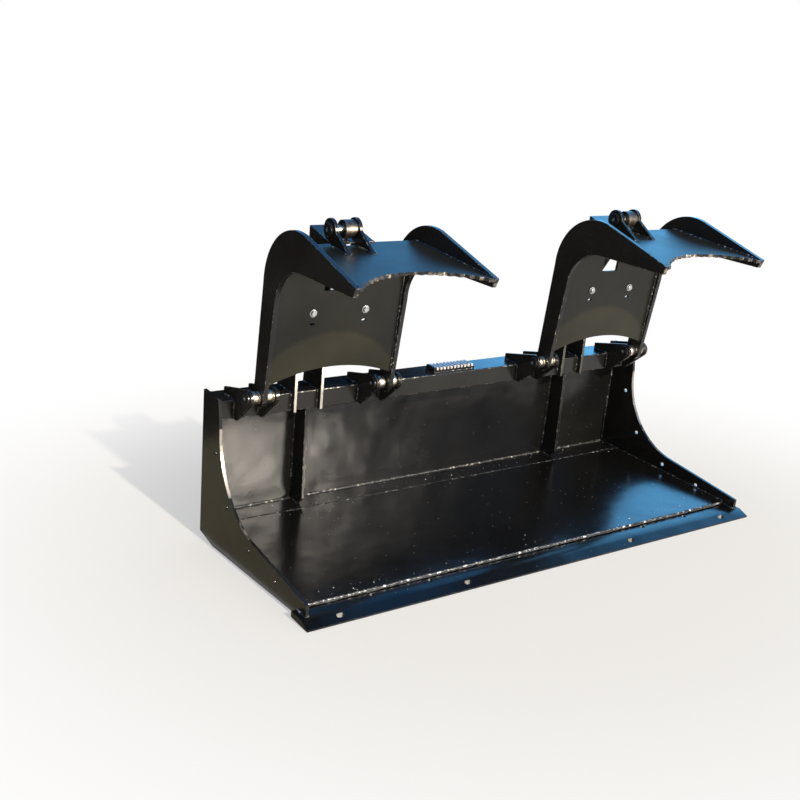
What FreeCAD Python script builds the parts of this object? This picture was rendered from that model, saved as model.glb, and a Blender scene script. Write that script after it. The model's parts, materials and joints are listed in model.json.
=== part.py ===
import FreeCAD, Part
import Sketcher
import math
import os

# A grapple bucket: an open bucket of welded plate with two hydraulic claws hinged on
# its top tube. Millimetres, +Z up.
#
# Every outline is drawn in the bucket's own side view: "along" is measured from the
# inner face of the back plate (negative towards the cutting edge) and "up" from the
# top of the floor. Each body's placement then tips that view by a few degrees, so
# that the side plates' lower corners and the cutting edge rest on a level surface,
# and moves it so that the origin lies under the middle of the whole part.

Vector = FreeCAD.Vector

doc = FreeCAD.newDocument("grapple_bucket")
sheet = doc.addObject("Spreadsheet::Sheet", "Dim")

sizes = [
    # bucket shell
    ("bucket_width", 1829, "over the two side plates"),
    ("side_plate_thick", 10, "side plate"),
    ("side_plate_rise", 9, "side plates above the top of the tube"),
    ("side_front_reach", 5, "front edge of a side plate at its top, in front of the tube"),
    ("side_bend_start", 343, "height where the front edge starts to sweep"),
    ("side_bend_along", 117, "how far forward that point lies"),
    ("side_bend_radius", 285.5, "sweep of the front edge"),
    ("side_ramp_along", 360, "where the sweep becomes the long slope"),
    ("side_tip_height", 27, "height of the blunt tip"),
    ("side_tip_reach", 51, "tip in front of the floor"),
    ("skid_drop", 76, "lowest corner of a side plate, below the floor's top"),
    ("skid_along", 93, "how far forward that corner is"),
    ("heel_corner_drop", 62, "rear end of the chamfer, below the floor's top"),
    ("side_hole_radius", 7, "side cutter bolt hole"),
    ("side_hole_inset", 36, "those holes from the front edge"),
    ("side_hole_setback", 190, "the hole in the long slope, behind the tip"),
    ("floor_thick", 10, "floor and heel plate"),
    ("heel_depth", 90, "strip between the two weld lines"),
    ("floor_depth", 664, "back plate to the front of the floor"),
    ("back_thick", 8, "back plate"),
    ("edge_thick", 19, "cutting edge"),
    ("edge_depth", 96, "cutting edge, front to rear"),
    ("edge_overhang", 19, "cutting edge beyond each side plate"),
    ("edge_bevel", 38, "length of the bevel"),
    ("edge_nose", 5, "height left at the nose"),
    ("edge_slot_inner", 352, "bolt slots, from the middle"),
    ("edge_slot_inset", 121.5, "outer bolt slots, from the ends of the edge"),
    ("edge_slot_setback", 23, "slot centre behind the nose"),
    ("edge_slot_radius", 7, "half the slot's width"),
    ("edge_slot_length", 26, "slot, end to end"),
    ("edge_hole_inner", 460, "round holes, from the middle"),
    ("edge_hole_outer", 672, "round holes, from the middle"),
    ("edge_hole_setback", 76, "round holes behind the nose"),
    ("edge_hole_radius", 8, "round hole"),
    # top tube
    ("tube_rear", 4, "rear face of the tube, behind the back plate's inner face"),
    ("tube_height", 64, "top tube"),
    ("tube_wall", 6, "top tube"),
    ("tube_top", 429, "top of the tube above the floor"),
    ("tube_front", 98, "front face of the tube"),
    ("step_length", 180, "serrated step on the tube"),
    ("step_depth", 50, "serrated step"),
    ("step_height", 8, "step plate under the teeth"),
    ("step_tooth", 10, "height of the step's teeth"),
    ("step_teeth", 9, "teeth on the step"),
    ("step_setback", 18, "step behind the tube's front face"),
    ("step_across", -70, "left end of the step from the middle"),
    # posts under the tube
    ("post_thick", 12, "inner post"),
    ("post_offset", 4, "inner posts from the claw's middle, inwards"),
    ("post_depth_top", 70, "inner post at the tube"),
    ("post_depth_foot", 80, "inner post near the floor"),
    ("post_point_height", 28, "where its pointed foot starts"),
    ("post_point_along", 48, "tip of its foot"),
    # coupler
    ("coupler_width", 1149, "attachment plate"),
    ("coupler_thick", 10, "attachment plate"),
    ("coupler_height", 425, "attachment plate"),
    ("coupler_lip_reach", 38, "upper lip, towards the rear"),
    ("coupler_lip_thick", 10, "upper lip"),
    ("coupler_foot_reach", 60, "lower flange, towards the rear"),
    ("coupler_foot_drop", 20, "lower flange below the floor's top"),
    ("coupler_slot_inset", 58.5, "lower slots, from the ends of the flange"),
    ("coupler_slot_length", 64, "lower slot, end to end"),
    ("coupler_slot_radius", 9, "half the lower slot's width"),
    # claws
    ("claw_inset", 334.5, "middle of each claw from the outside of the side plate"),
    ("claw_width", 481, "over a claw's two side plates"),
    ("claw_plate_thick", 16, "claw side plate"),
    ("hinge_reach", 89, "claw hinge in front of the tube"),
    ("hinge_rise", 34, "claw hinge above the top of the tube"),
    ("hinge_pin_radius", 15, "claw hinge pin"),
    ("hinge_boss_radius", 34, "rounded foot of a claw plate"),
    ("elbow_drop", 75, "start of the elbow below the panel's knee"),
    ("elbow_along", 185, "rear edge there"),
    ("elbow_radius", 190, "outer sweep of the elbow"),
    ("crown_along", 426, "front end of that sweep"),
    ("tip_along", 703, "tip of a claw plate"),
    ("tip_height", 28, "height of the blunt tip"),
    ("tip_rake", 12, "lower corner of the tip behind the upper one"),
    ("throat_drop", 3, "top of the inner sweep below the tip's lower corner"),
    ("throat_along", 402, "front end of the inner sweep"),
    ("throat_radius", 142, "inner sweep"),
    ("panel_thick", 10, "bent cross panel"),
    ("panel_foot_along", 207.5, "rear face of the panel at its foot"),
    ("panel_foot_rise", 44, "foot of the panel above the hinge, at its ends"),
    ("panel_knee_along", 250, "rear face under the bend"),
    ("knee_rise", 442, "that bend above the hinge"),
    ("ridge_along", 292, "ridge of the panel"),
    ("ridge_rise", 56.7, "ridge above the knee"),
    ("nose_setback", 3, "front of the panel behind the plates' tips"),
    ("nose_drop", 26.7, "front of the panel below the ridge"),
    ("panel_arch", 44, "rise of the arch cut in the foot"),
    ("panel_bite", 110, "depth of the toothed cut at the front"),
    ("bite_teeth", 18, "teeth along that cut"),
    ("bite_tooth", 8, "height of those teeth"),
    ("panel_bolt_across", 94, "bolts from the middle of the claw"),
    ("panel_bolt_rise", 229, "bolts above the foot of the panel"),
    ("panel_bolt_radius", 6, "bolt shank"),
    ("panel_bolt_gap", 1.5, "round the shank, as the holes run level and the bolts lean"),
    ("panel_slot_drop", 36, "small slots below the bolts"),
    ("panel_slot_radius", 4, "half the small slot's width"),
    ("panel_slot_length", 18, "small slot, end to end"),
    ("rod_window_gap", 2, "beside the gland in the opening at the ridge"),
    ("rod_window_drop", 99, "lower end of that opening below the knee"),
    ("rod_window_reach", 18, "front end of that opening, in front of the rod's pin"),
    ("guard_width", 156, "raised guard behind the ridge"),
    ("guard_thick", 6, "raised guard"),
    ("guard_rear_along", 160, "rear end of the guard"),
    ("guard_rise", 30.3, "its rear end above the ridge"),
    ("guard_notch_reach", 60, "rear end of the notch for the rod, behind its pin"),
    ("guard_notch_gap", 7, "beside the rod in that notch"),
    # cylinder lugs and ears
    ("lug_thick", 12, "cylinder lugs"),
    ("cylinder_across", -28, "cylinder plane from the claw's middle"),
    ("base_lug_left_gap", 4, "between the barrel and the left base lug"),
    ("base_lug_right_gap", 22, "between the barrel and the right base lug"),
    ("base_lug_reach", 20, "base lugs in front of the tube"),
    ("base_lug_radius", 38, "rounded top of the base lugs"),
    ("base_pin_along", 50, "cylinder base pin"),
    ("base_pin_rise", 176, "cylinder base pin above the tube"),
    ("rod_pin_along", 300, "rod pin in the claw's lugs"),
    ("rod_pin_rise", 44.3, "rod pin above the ridge"),
    ("claw_lug_left_gap", 31, "between the rod's eye and the left claw lug"),
    ("claw_lug_right_gap", 1, "between the rod's eye and the right claw lug"),
    ("claw_lug_radius", 34, "rounded top of the claw lugs"),
    ("claw_lug_foot", 416, "front foot of the claw lugs"),
    ("lug_window_gap", 2, "between the claw lugs' heel and the opening"),
    ("cylinder_pin_radius", 12.5, "both cylinder pins"),
    ("ear_thick", 10, "hinge ear"),
    ("ear_inner_gap", 32.5, "between the inner ears and the claw's side plates"),
    ("ear_outer_gap", 28.5, "between the outer ears and the claw's side plates"),
    ("ear_radius", 28, "rounded nose of an ear"),
    ("ear_rear_along", 21, "rear end of an ear on the tube"),
    ("ear_rear_rise", 21, "rear end of an ear above the tube"),
    ("ear_nose_turn", 75, "where the nose ends, degrees above the pin"),
    ("ear_chin_turn", 130, "where the nose starts, degrees below the pin"),
    ("ear_point_reach", 18, "lower point of an ear in front of the tube"),
    ("spacer_radius", 21, "bright spacer on the hinge pin"),
    ("pin_head_radius", 22, "collar at each end of a pin"),
    ("pin_head_thick", 8, "collar at each end of a pin"),
    # cylinders
    ("barrel_radius", 30, "cylinder barrel, outside"),
    ("bore_radius", 25, "cylinder bore"),
    ("rod_show", 100.5, "barrel's mouth to the rod's pin, claw open"),
    ("base_eye_width", 54, "base eye"),
    ("base_eye_radius", 28, "base eye"),
    ("gland_radius", 34, "gland"),
    ("gland_length", 26, "gland"),
    ("rod_radius", 15, "piston rod"),
    ("rod_tail", 60, "end of the rod from the base pin"),
    ("rod_eye_width", 40, "rod eye"),
    ("rod_eye_radius", 28, "rod eye"),
    ("piston_length", 28, "piston"),
    ("port_radius", 11, "hose port on the barrel"),
    ("port_height", 16, "hose port on the barrel"),
    ("port_inset", 45, "ports from the ends of the barrel"),
    # fits and clearances
    ("pin_fit", 0.05, "radial running fit of a pin"),
    ("base_pin_gap", 0.6, "between the barrel and the base pin's ends"),
    ("side_gap", 0.3, "beside a moving eye or spacer"),
    # fasteners
    ("bolt_head_radius", 10, "bolt head, across its corners"),
    ("bolt_head_height", 8, "bolt head"),
]
for row, (name, number, note) in enumerate(sizes, start=1):
    sheet.set("A%d" % row, name)
    sheet.set("B%d" % row, str(number))
    sheet.set("C%d" % row, note)
    sheet.setAlias("B%d" % row, name)
doc.recompute()

# Heights and reaches that follow one another: tube, hinge, panel, ridge, pins.
SIDE_TOP = "(Dim.tube_top + Dim.side_plate_rise)"
HINGE_ALONG = "(Dim.tube_front + Dim.hinge_reach)"
HINGE_UP = "(Dim.tube_top + Dim.hinge_rise)"
BASE_PIN_UP = "(Dim.tube_top + Dim.base_pin_rise)"
BASE_LUG_FRONT = "(Dim.tube_front + Dim.base_lug_reach)"
EAR_REAR_UP = "(Dim.tube_top + Dim.ear_rear_rise)"
EAR_POINT_ALONG = "(Dim.tube_front + Dim.ear_point_reach)"
PANEL_FOOT_UP = "(%s + Dim.panel_foot_rise)" % HINGE_UP
PANEL_BOLT_UP = "(%s + Dim.panel_bolt_rise)" % PANEL_FOOT_UP
PANEL_SLOT_UP = "(%s - Dim.panel_slot_drop)" % PANEL_BOLT_UP
KNEE_UP = "(%s + Dim.knee_rise)" % HINGE_UP
RIDGE_UP = "(%s + Dim.ridge_rise)" % KNEE_UP
NOSE_UP = "(%s - Dim.nose_drop)" % RIDGE_UP
NOSE_ALONG = "(Dim.tip_along - Dim.nose_setback)"
ELBOW_UP = "(%s - Dim.elbow_drop)" % KNEE_UP
TIP_FOOT_ALONG = "(Dim.tip_along - Dim.tip_rake)"
TIP_FOOT_UP = "(%s - Dim.tip_height)" % NOSE_UP
THROAT_FOOT_UP = "(%s - Dim.throat_drop - Dim.throat_radius)" % TIP_FOOT_UP
WINDOW_FOOT_UP = "(%s - Dim.rod_window_drop)" % KNEE_UP
GUARD_REAR_UP = "(%s + Dim.guard_rise)" % RIDGE_UP
ROD_PIN_UP = "(%s + Dim.rod_pin_rise)" % RIDGE_UP
CLAW_ACROSS = "(Dim.bucket_width / 2 - Dim.claw_inset)"
SIDE_FRONT_TOP = "(Dim.tube_front + Dim.side_front_reach)"
SIDE_TIP_ALONG = "(Dim.floor_depth + Dim.side_tip_reach)"
SIDE_HOLE_RAMP = "(%s - Dim.side_hole_setback)" % SIDE_TIP_ALONG
COUPLER_SLOT_ACROSS = "(Dim.coupler_width / 2 - Dim.coupler_slot_inset)"
WINDOW_FRONT = "(Dim.rod_pin_along + Dim.rod_window_reach)"
NOTCH_REAR = "(Dim.rod_pin_along - Dim.guard_notch_reach)"

# Places across the width, from the middle of a claw.
CLAW_INNER_HALF = "(Dim.claw_width / 2 - Dim.claw_plate_thick)"
EAR_INNER = "(%s - Dim.ear_inner_gap - Dim.ear_thick / 2)" % CLAW_INNER_HALF
EAR_OUTER = "(Dim.claw_width / 2 + Dim.ear_outer_gap + Dim.ear_thick / 2)"
BARREL_SIDE = "(Dim.barrel_radius + Dim.lug_thick / 2)"
BASE_LUG_LEFT = "(Dim.cylinder_across - %s - Dim.base_lug_left_gap)" % BARREL_SIDE
BASE_LUG_RIGHT = "(Dim.cylinder_across + %s + Dim.base_lug_right_gap)" % BARREL_SIDE
ROD_EYE_SIDE = "(Dim.rod_eye_width / 2 + Dim.lug_thick / 2)"
CLAW_LUG_LEFT = "(Dim.cylinder_across - %s - Dim.claw_lug_left_gap)" % ROD_EYE_SIDE
CLAW_LUG_RIGHT = "(Dim.cylinder_across + %s + Dim.claw_lug_right_gap)" % ROD_EYE_SIDE

# How far the side view is tipped, so that the lower corners and the nose are level.
TIP = (
    "atan2(Dim.skid_drop - Dim.floor_thick - Dim.edge_thick;"
    " Dim.floor_depth + Dim.edge_depth - Dim.skid_along)"
)
LIFT = "(Dim.skid_along * sin(%s) + Dim.skid_drop * cos(%s))" % (TIP, TIP)
COUPLER_REAR = "(Dim.back_thick + Dim.coupler_thick)"
FRONT_REACH = "(Dim.tip_along * cos(%s) + %s * sin(%s))" % (TIP, NOSE_UP, TIP)
REAR_REACH = "(%s * cos(%s) + Dim.coupler_foot_drop * sin(%s) + Dim.coupler_foot_reach)" % (
    COUPLER_REAR, TIP, TIP
)
SHIFT = "((%s - %s) / 2)" % (FRONT_REACH, REAR_REACH)

HALF_WIDTH = "(Dim.bucket_width / 2)"
INNER_HALF = "(Dim.bucket_width / 2 - Dim.side_plate_thick)"
TUBE_BOTTOM = "(Dim.tube_top - Dim.tube_height)"
EDGE_FRONT = "(Dim.floor_depth + Dim.edge_depth)"
EDGE_BOTTOM = "(Dim.floor_thick + Dim.edge_thick)"
COUPLER_TOP = "(Dim.coupler_height - Dim.coupler_foot_drop)"
PANEL_RUN = "(Dim.panel_knee_along - Dim.panel_foot_along)"
PANEL_HEIGHT = "(%s - %s)" % (KNEE_UP, PANEL_FOOT_UP)
PANEL_SLOPE = "(%s / %s)" % (PANEL_RUN, PANEL_HEIGHT)
PANEL_LEAN = "atan2(%s; %s)" % (PANEL_RUN, PANEL_HEIGHT)
DECK_SLOPE = "(Dim.nose_drop / (%s - Dim.ridge_along))" % NOSE_ALONG
CYLINDER_RUN = "(Dim.rod_pin_along - Dim.base_pin_along)"
CYLINDER_HEIGHT = "(%s - %s)" % (ROD_PIN_UP, BASE_PIN_UP)
CYLINDER_LEAN = "atan2(%s; %s)" % (CYLINDER_RUN, CYLINDER_HEIGHT)
CYLINDER_REACH = "sqrt(%s^2 + %s^2)" % (CYLINDER_RUN, CYLINDER_HEIGHT)
BARREL_LENGTH = "(%s - Dim.rod_show)" % CYLINDER_REACH


def number(expression):
    return float(sheet.evalExpression(expression))


def origin_plane(body, role):
    for feature in body.Origin.OriginFeatures:
        if feature.Role == role:
            return feature


def new_body(label):
    body = doc.addObject("PartDesign::Body", label)
    body.Label = label
    return body


# Puts a body's own origin at a point of the side view and turns it about the width.
def seat(piece, across="0", along="0", up="0", turn="0"):
    piece.Placement = FreeCAD.Placement(Vector(0, 0, 0), FreeCAD.Rotation(Vector(1, 0, 0), 1))
    piece.setExpression("Placement.Rotation.Angle", "%s + %s * 1 deg" % (TIP, turn))
    piece.setExpression("Placement.Base.x", across)
    piece.setExpression(
        "Placement.Base.y", "%s + (%s) * cos(%s) - (%s) * sin(%s)" % (SHIFT, along, TIP, up, TIP)
    )
    piece.setExpression(
        "Placement.Base.z", "%s + (%s) * sin(%s) + (%s) * cos(%s)" % (LIFT, along, TIP, up, TIP)
    )


# A loop is a list of corners. A corner is (x, y), or (x, y, radius) where an arc goes
# on to the next corner: a positive radius turns left and a negative one turns right.
# ("x" or "y" as a fourth item marks a half circle, held by its centre on that axis.)
def draw_loop(sketch, corners):
    count = len(corners)
    points = [Vector(number(c[0]), number(c[1]), 0) for c in corners]
    first = sketch.GeometryCount
    ends = []
    for index, corner in enumerate(corners):
        start = points[index]
        end = points[(index + 1) % count]
        if len(corner) == 2:
            sketch.addGeometry(Part.LineSegment(start, end), False)
            ends.append((1, 2))
            continue
        radius = number(corner[2])
        chord = end - start
        rise = math.sqrt(max(0.0, radius**2 - (chord.Length / 2) ** 2))
        left = Vector(-chord.y, chord.x, 0).normalize()
        centre = (start + end) * 0.5 + left * (rise if radius > 0 else -rise)
        circle = Part.Circle(centre, Vector(0, 0, 1), abs(radius))
        start_angle = math.atan2(start.y - centre.y, start.x - centre.x)
        end_angle = math.atan2(end.y - centre.y, end.x - centre.x)
        if radius > 0:
            sketch.addGeometry(Part.ArcOfCircle(circle, start_angle, end_angle), False)
            ends.append((1, 2))
        else:
            sketch.addGeometry(Part.ArcOfCircle(circle, end_angle, start_angle), False)
            ends.append((2, 1))
    for index in range(count):
        after = (index + 1) % count
        sketch.addConstraint(
            Sketcher.Constraint(
                "Coincident", first + index, ends[index][1], first + after, ends[after][0]
            )
        )
    for index, corner in enumerate(corners):
        hold(sketch, "DistanceX", first + index, ends[index][0], corner[0])
        hold(sketch, "DistanceY", first + index, ends[index][0], corner[1])
        if len(corner) == 3:
            radius = sketch.addConstraint(
                Sketcher.Constraint("Radius", first + index, abs(number(corner[2])))
            )
            sketch.setExpression("Constraints[%d]" % radius, "abs(%s)" % corner[2])
        elif len(corner) == 4:
            axis = corner[3]
            expression = corner[0] if axis == "x" else corner[1]
            hold(sketch, "Distance" + axis.upper(), first + index, 3, expression)


# Holds one point of a sketch's geometry at a distance from the sketch's origin.
def hold(sketch, kind, geometry, point, expression):
    index = sketch.addConstraint(
        Sketcher.Constraint(kind, -1, 1, geometry, point, number(expression))
    )
    sketch.setExpression("Constraints[%d]" % index, expression)


def draw_circle(sketch, across, up, radius):
    geometry = sketch.addGeometry(
        Part.Circle(Vector(number(across), number(up), 0), Vector(0, 0, 1), number(radius)), False
    )
    hold(sketch, "DistanceX", geometry, 3, across)
    hold(sketch, "DistanceY", geometry, 3, up)
    index = sketch.addConstraint(Sketcher.Constraint("Radius", geometry, number(radius)))
    sketch.setExpression("Constraints[%d]" % index, radius)


def new_sketch(body, role, loops=(), circles=(), offset=None):
    sketch = body.newObject("Sketcher::SketchObject", body.Name + "_sketch")
    sketch.AttachmentSupport = [(origin_plane(body, role), "")]
    sketch.MapMode = "FlatFace"
    if offset is not None:
        sketch.setExpression("AttachmentOffset.Base.z", offset)
    for corners in loops:
        draw_loop(sketch, corners)
    for circle in circles:
        draw_circle(sketch, *circle)
    return sketch


def pad(body, sketch, length, middle=False):
    feature = body.newObject("PartDesign::Pad", body.Name + "_pad")
    feature.Profile = sketch
    feature.setExpression("Length", length)
    if middle:
        feature.SideType = "Symmetric"
    doc.recompute()
    return feature


# Cuts a sketch out of a body on both sides of its plane, and checks that it did.
def cut(body, sketch, length):
    doc.recompute()
    before = body.Shape.Volume
    feature = body.newObject("PartDesign::Pocket", body.Name + "_cut")
    feature.Profile = sketch
    feature.SideType = "Symmetric"
    feature.setExpression("Length", length)
    doc.recompute()
    if body.Shape.Volume > before - 1:
        raise ValueError("%s: a cut removed nothing" % body.Label)


# A solid turned about one axis of its sketch plane, from steps (start, end, radius).
def turn_steps(body, role, steps, axis, bore=None):
    corners = []
    inner = "0" if bore is None else bore
    corners.append((steps[0][0], inner))
    for start, end, radius in steps:
        corners.append((start, radius))
        corners.append((end, radius))
    corners.append((steps[-1][1], inner))
    if axis == "V_Axis":
        corners = [(radius, place) for place, radius in corners]
    sketch = new_sketch(body, role, [corners])
    feature = body.newObject("PartDesign::Revolution", body.Name + "_turn")
    feature.Profile = sketch
    feature.ReferenceAxis = (sketch, [axis])
    feature.Angle = 360
    doc.recompute()


# A plate drawn in the side view and made thick across the width.
def side_view_plate(label, across, thick, loops, circles=()):
    body = new_body(label)
    pad(body, new_sketch(body, "YZ_Plane", loops, circles), thick)
    seat(body, across)
    return body


def slot_loop(across, up, length, radius):
    reach = "(%s / 2 - %s)" % (length, radius)
    return [
        ("%s - %s" % (across, reach), "%s - %s" % (up, radius)),
        ("%s + %s" % (across, reach), "%s - %s" % (up, radius), radius, "x"),
        ("%s + %s" % (across, reach), "%s + %s" % (up, radius)),
        ("%s - %s" % (across, reach), "%s + %s" % (up, radius), radius, "x"),
    ]


# A point on a circle about a point of the side view, by its angle from the rear.
def around(along, up, radius, angle):
    return (
        "%s + %s * cos(%s * 1 deg)" % (along, radius, angle),
        "%s + %s * sin(%s * 1 deg)" % (up, radius, angle),
    )


# Side plates: the front edge drops straight, sweeps forward and runs out in a slope.
SWEEP_ALONG = "(-Dim.side_bend_along - Dim.side_bend_radius)"
SWEEP_FOOT_UP = (
    "(Dim.side_bend_start - sqrt(Dim.side_bend_radius^2"
    " - (Dim.side_bend_along + Dim.side_bend_radius - Dim.side_ramp_along)^2))"
)
RAMP_SLOPE = (
    "((%s - Dim.side_tip_height) / (%s - Dim.side_ramp_along))" % (SWEEP_FOOT_UP, SIDE_TIP_ALONG)
)
HOLE_SWEEP = "(Dim.side_bend_radius + Dim.side_hole_inset)"
HOLE_ANGLES = ("-16", "-48", "-80")


def make_side_plate(label, across):
    outline = [
        ("Dim.back_thick", SIDE_TOP),
        ("-" + SIDE_FRONT_TOP, SIDE_TOP),
        ("-Dim.side_bend_along", "Dim.side_bend_start", "-Dim.side_bend_radius"),
        ("-Dim.side_ramp_along", SWEEP_FOOT_UP),
        ("-" + SIDE_TIP_ALONG, "Dim.side_tip_height"),
        ("-" + SIDE_TIP_ALONG, "-Dim.floor_thick"),
        ("-Dim.floor_depth", "-Dim.floor_thick"),
        ("-Dim.floor_depth", "-" + EDGE_BOTTOM),
        ("-Dim.skid_along", "-Dim.skid_drop"),
        ("Dim.back_thick", "-Dim.heel_corner_drop"),
    ]
    holes = []
    for angle in HOLE_ANGLES:
        place = around(SWEEP_ALONG, "Dim.side_bend_start", HOLE_SWEEP, angle)
        holes.append((place[0], place[1], "Dim.side_hole_radius"))
    ramp_drop = "(%s - Dim.side_ramp_along) * %s" % (SIDE_HOLE_RAMP, RAMP_SLOPE)
    ramp_up = "%s - %s - Dim.side_hole_inset" % (SWEEP_FOOT_UP, ramp_drop)
    holes.append(("-" + SIDE_HOLE_RAMP, ramp_up, "Dim.side_hole_radius"))
    return side_view_plate(label, across, "Dim.side_plate_thick", [outline], holes)


make_side_plate("side_plate_left", "-" + HALF_WIDTH)
make_side_plate("side_plate_right", INNER_HALF)


# Floor, heel strip and back plate fill the width between the side plates.
def make_inner_plate(label, front, rear, bottom, top):
    outline = [(front, bottom), (rear, bottom), (rear, top), (front, top)]
    return side_view_plate(label, "-" + INNER_HALF, "2 * " + INNER_HALF, [outline])


make_inner_plate("floor_plate", "-Dim.floor_depth", "-Dim.heel_depth", "-Dim.floor_thick", "0")
make_inner_plate("heel_plate", "-Dim.heel_depth", "0", "-Dim.floor_thick", "0")
make_inner_plate("back_plate", "0", "Dim.back_thick", "-Dim.floor_thick", TUBE_BOTTOM)


# The cutting edge lies under the side plates' tips and in front of the floor.
def make_cutting_edge():
    half = "(%s + Dim.edge_overhang)" % HALF_WIDTH
    outline = [
        ("-Dim.floor_depth", "-Dim.floor_thick"),
        ("-%s + Dim.edge_bevel" % EDGE_FRONT, "-Dim.floor_thick"),
        ("-" + EDGE_FRONT, "-%s + Dim.edge_nose" % EDGE_BOTTOM),
        ("-" + EDGE_FRONT, "-" + EDGE_BOTTOM),
        ("-Dim.floor_depth", "-" + EDGE_BOTTOM),
    ]
    body = new_body("cutting_edge")
    pad(body, new_sketch(body, "YZ_Plane", [outline]), "2 * " + half, middle=True)
    slots = []
    for place in ("Dim.edge_slot_inner", "(%s - Dim.edge_slot_inset)" % half):
        for sign in ("-", ""):
            setback = "-%s + Dim.edge_slot_setback" % EDGE_FRONT
            slots.append(
                slot_loop(sign + place, setback, "Dim.edge_slot_length", "Dim.edge_slot_radius")
            )
    holes = []
    for place in ("Dim.edge_hole_inner", "Dim.edge_hole_outer"):
        for sign in ("-", ""):
            setback = "-%s + Dim.edge_hole_setback" % EDGE_FRONT
            holes.append((sign + place, setback, "Dim.edge_hole_radius"))
    cut(body, new_sketch(body, "XY_Plane", slots, holes), "4 * " + EDGE_BOTTOM)
    seat(body)


make_cutting_edge()


# The top tube closes the bucket between the side plates.
def make_top_tube():
    outer = [
        ("-Dim.tube_front", TUBE_BOTTOM),
        ("Dim.tube_rear", TUBE_BOTTOM),
        ("Dim.tube_rear", "Dim.tube_top"),
        ("-Dim.tube_front", "Dim.tube_top"),
    ]
    inner = [
        ("-Dim.tube_front + Dim.tube_wall", TUBE_BOTTOM + " + Dim.tube_wall"),
        ("Dim.tube_rear - Dim.tube_wall", TUBE_BOTTOM + " + Dim.tube_wall"),
        ("Dim.tube_rear - Dim.tube_wall", "Dim.tube_top - Dim.tube_wall"),
        ("-Dim.tube_front + Dim.tube_wall", "Dim.tube_top - Dim.tube_wall"),
    ]
    side_view_plate("top_tube", "-" + INNER_HALF, "2 * " + INNER_HALF, [outer, inner])


make_top_tube()


# The step on the tube has a row of saw teeth across the width.
def make_step():
    pitch = "(Dim.step_length / %d)" % int(number("Dim.step_teeth"))
    corners = [("0", "0"), ("Dim.step_length", "0"), ("Dim.step_length", "Dim.step_height")]
    for tooth in range(int(number("Dim.step_teeth")), 0, -1):
        corners.append(
            ("%s * %.1f" % (pitch, tooth - 0.5), "Dim.step_height + Dim.step_tooth")
        )
        corners.append(("%s * %d" % (pitch, tooth - 1), "Dim.step_height"))
    body = new_body("serrated_step")
    pad(body, new_sketch(body, "XZ_Plane", [corners]), "Dim.step_depth", middle=True)
    seat(
        body, "Dim.step_across",
        "-Dim.tube_front + Dim.step_setback + Dim.step_depth / 2", "Dim.tube_top",
    )


make_step()


# An inner post stands under the tube in the middle of each claw.
def make_post(label, across):
    outline = [
        ("0", TUBE_BOTTOM),
        ("-Dim.post_depth_top", TUBE_BOTTOM),
        ("-Dim.post_depth_foot", "Dim.post_point_height"),
        ("-Dim.post_point_along", "0"),
        ("0", "0"),
    ]
    side_view_plate(label, across + " - Dim.post_thick / 2", "Dim.post_thick", [outline])


make_post("inner_post_left", "-%s + Dim.post_offset" % CLAW_ACROSS)
make_post("inner_post_right", "%s - Dim.post_offset" % CLAW_ACROSS)


# The attachment plate behind the bucket: a plate, a lip that the carrier lifts, and
# a level flange with the slots for its two locking wedges.
def make_coupler():
    start = "-Dim.coupler_width / 2"
    plate = [
        ("Dim.back_thick", "-Dim.coupler_foot_drop"),
        (COUPLER_REAR, "-Dim.coupler_foot_drop"),
        (COUPLER_REAR, COUPLER_TOP),
        ("Dim.back_thick", COUPLER_TOP),
    ]
    side_view_plate("coupler_plate", start, "Dim.coupler_width", [plate])
    lip = [
        (COUPLER_REAR, COUPLER_TOP),
        (COUPLER_REAR, COUPLER_TOP + " - Dim.coupler_lip_thick * 1.4"),
        (
            COUPLER_REAR + " + Dim.coupler_lip_reach",
            COUPLER_TOP + " - Dim.coupler_lip_reach - Dim.coupler_lip_thick * 1.4",
        ),
        (
            COUPLER_REAR + " + Dim.coupler_lip_reach",
            COUPLER_TOP + " - Dim.coupler_lip_reach",
        ),
    ]
    side_view_plate("coupler_upper_lip", start, "Dim.coupler_width", [lip])
    body = new_body("coupler_lower_flange")
    foot = [
        ("0", "0"),
        ("Dim.coupler_foot_reach", "0"),
        ("Dim.coupler_foot_reach", "Dim.coupler_thick"),
        ("-Dim.coupler_thick * tan(%s)" % TIP, "Dim.coupler_thick"),
    ]
    pad(body, new_sketch(body, "YZ_Plane", [foot]), "Dim.coupler_width", middle=True)
    middle = "Dim.coupler_foot_reach / 2"
    slots = []
    for sign in ("-", ""):
        slots.append(
            slot_loop(
                sign + COUPLER_SLOT_ACROSS, middle,
                "Dim.coupler_slot_length", "Dim.coupler_slot_radius",
            )
        )
    cut(body, new_sketch(body, "XY_Plane", slots), "4 * Dim.coupler_thick")
    seat(body, "0", COUPLER_REAR, "-Dim.coupler_foot_drop", "(-%s / 1 deg)" % TIP)


make_coupler()


# Claw side plates: a leg from the hinge, a swept elbow and a tapering arm.
def claw_plate_outline():
    crown_up = (
        "(" + ELBOW_UP + " + sqrt(Dim.elbow_radius^2"
        " - (Dim.elbow_along + Dim.elbow_radius - Dim.crown_along)^2))"
    )
    return [
        ("-" + HINGE_ALONG + " + Dim.hinge_boss_radius", HINGE_UP),
        ("-Dim.elbow_along", ELBOW_UP, "Dim.elbow_radius"),
        ("-Dim.crown_along", crown_up),
        ("-Dim.tip_along", NOSE_UP),
        ("-" + TIP_FOOT_ALONG, TIP_FOOT_UP),
        ("-Dim.throat_along", THROAT_FOOT_UP + " + Dim.throat_radius", "-Dim.throat_radius"),
        ("-Dim.throat_along + Dim.throat_radius", THROAT_FOOT_UP),
        (
            "-" + HINGE_ALONG + " - Dim.hinge_boss_radius", HINGE_UP,
            "Dim.hinge_boss_radius", "y",
        ),
    ]


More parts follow.
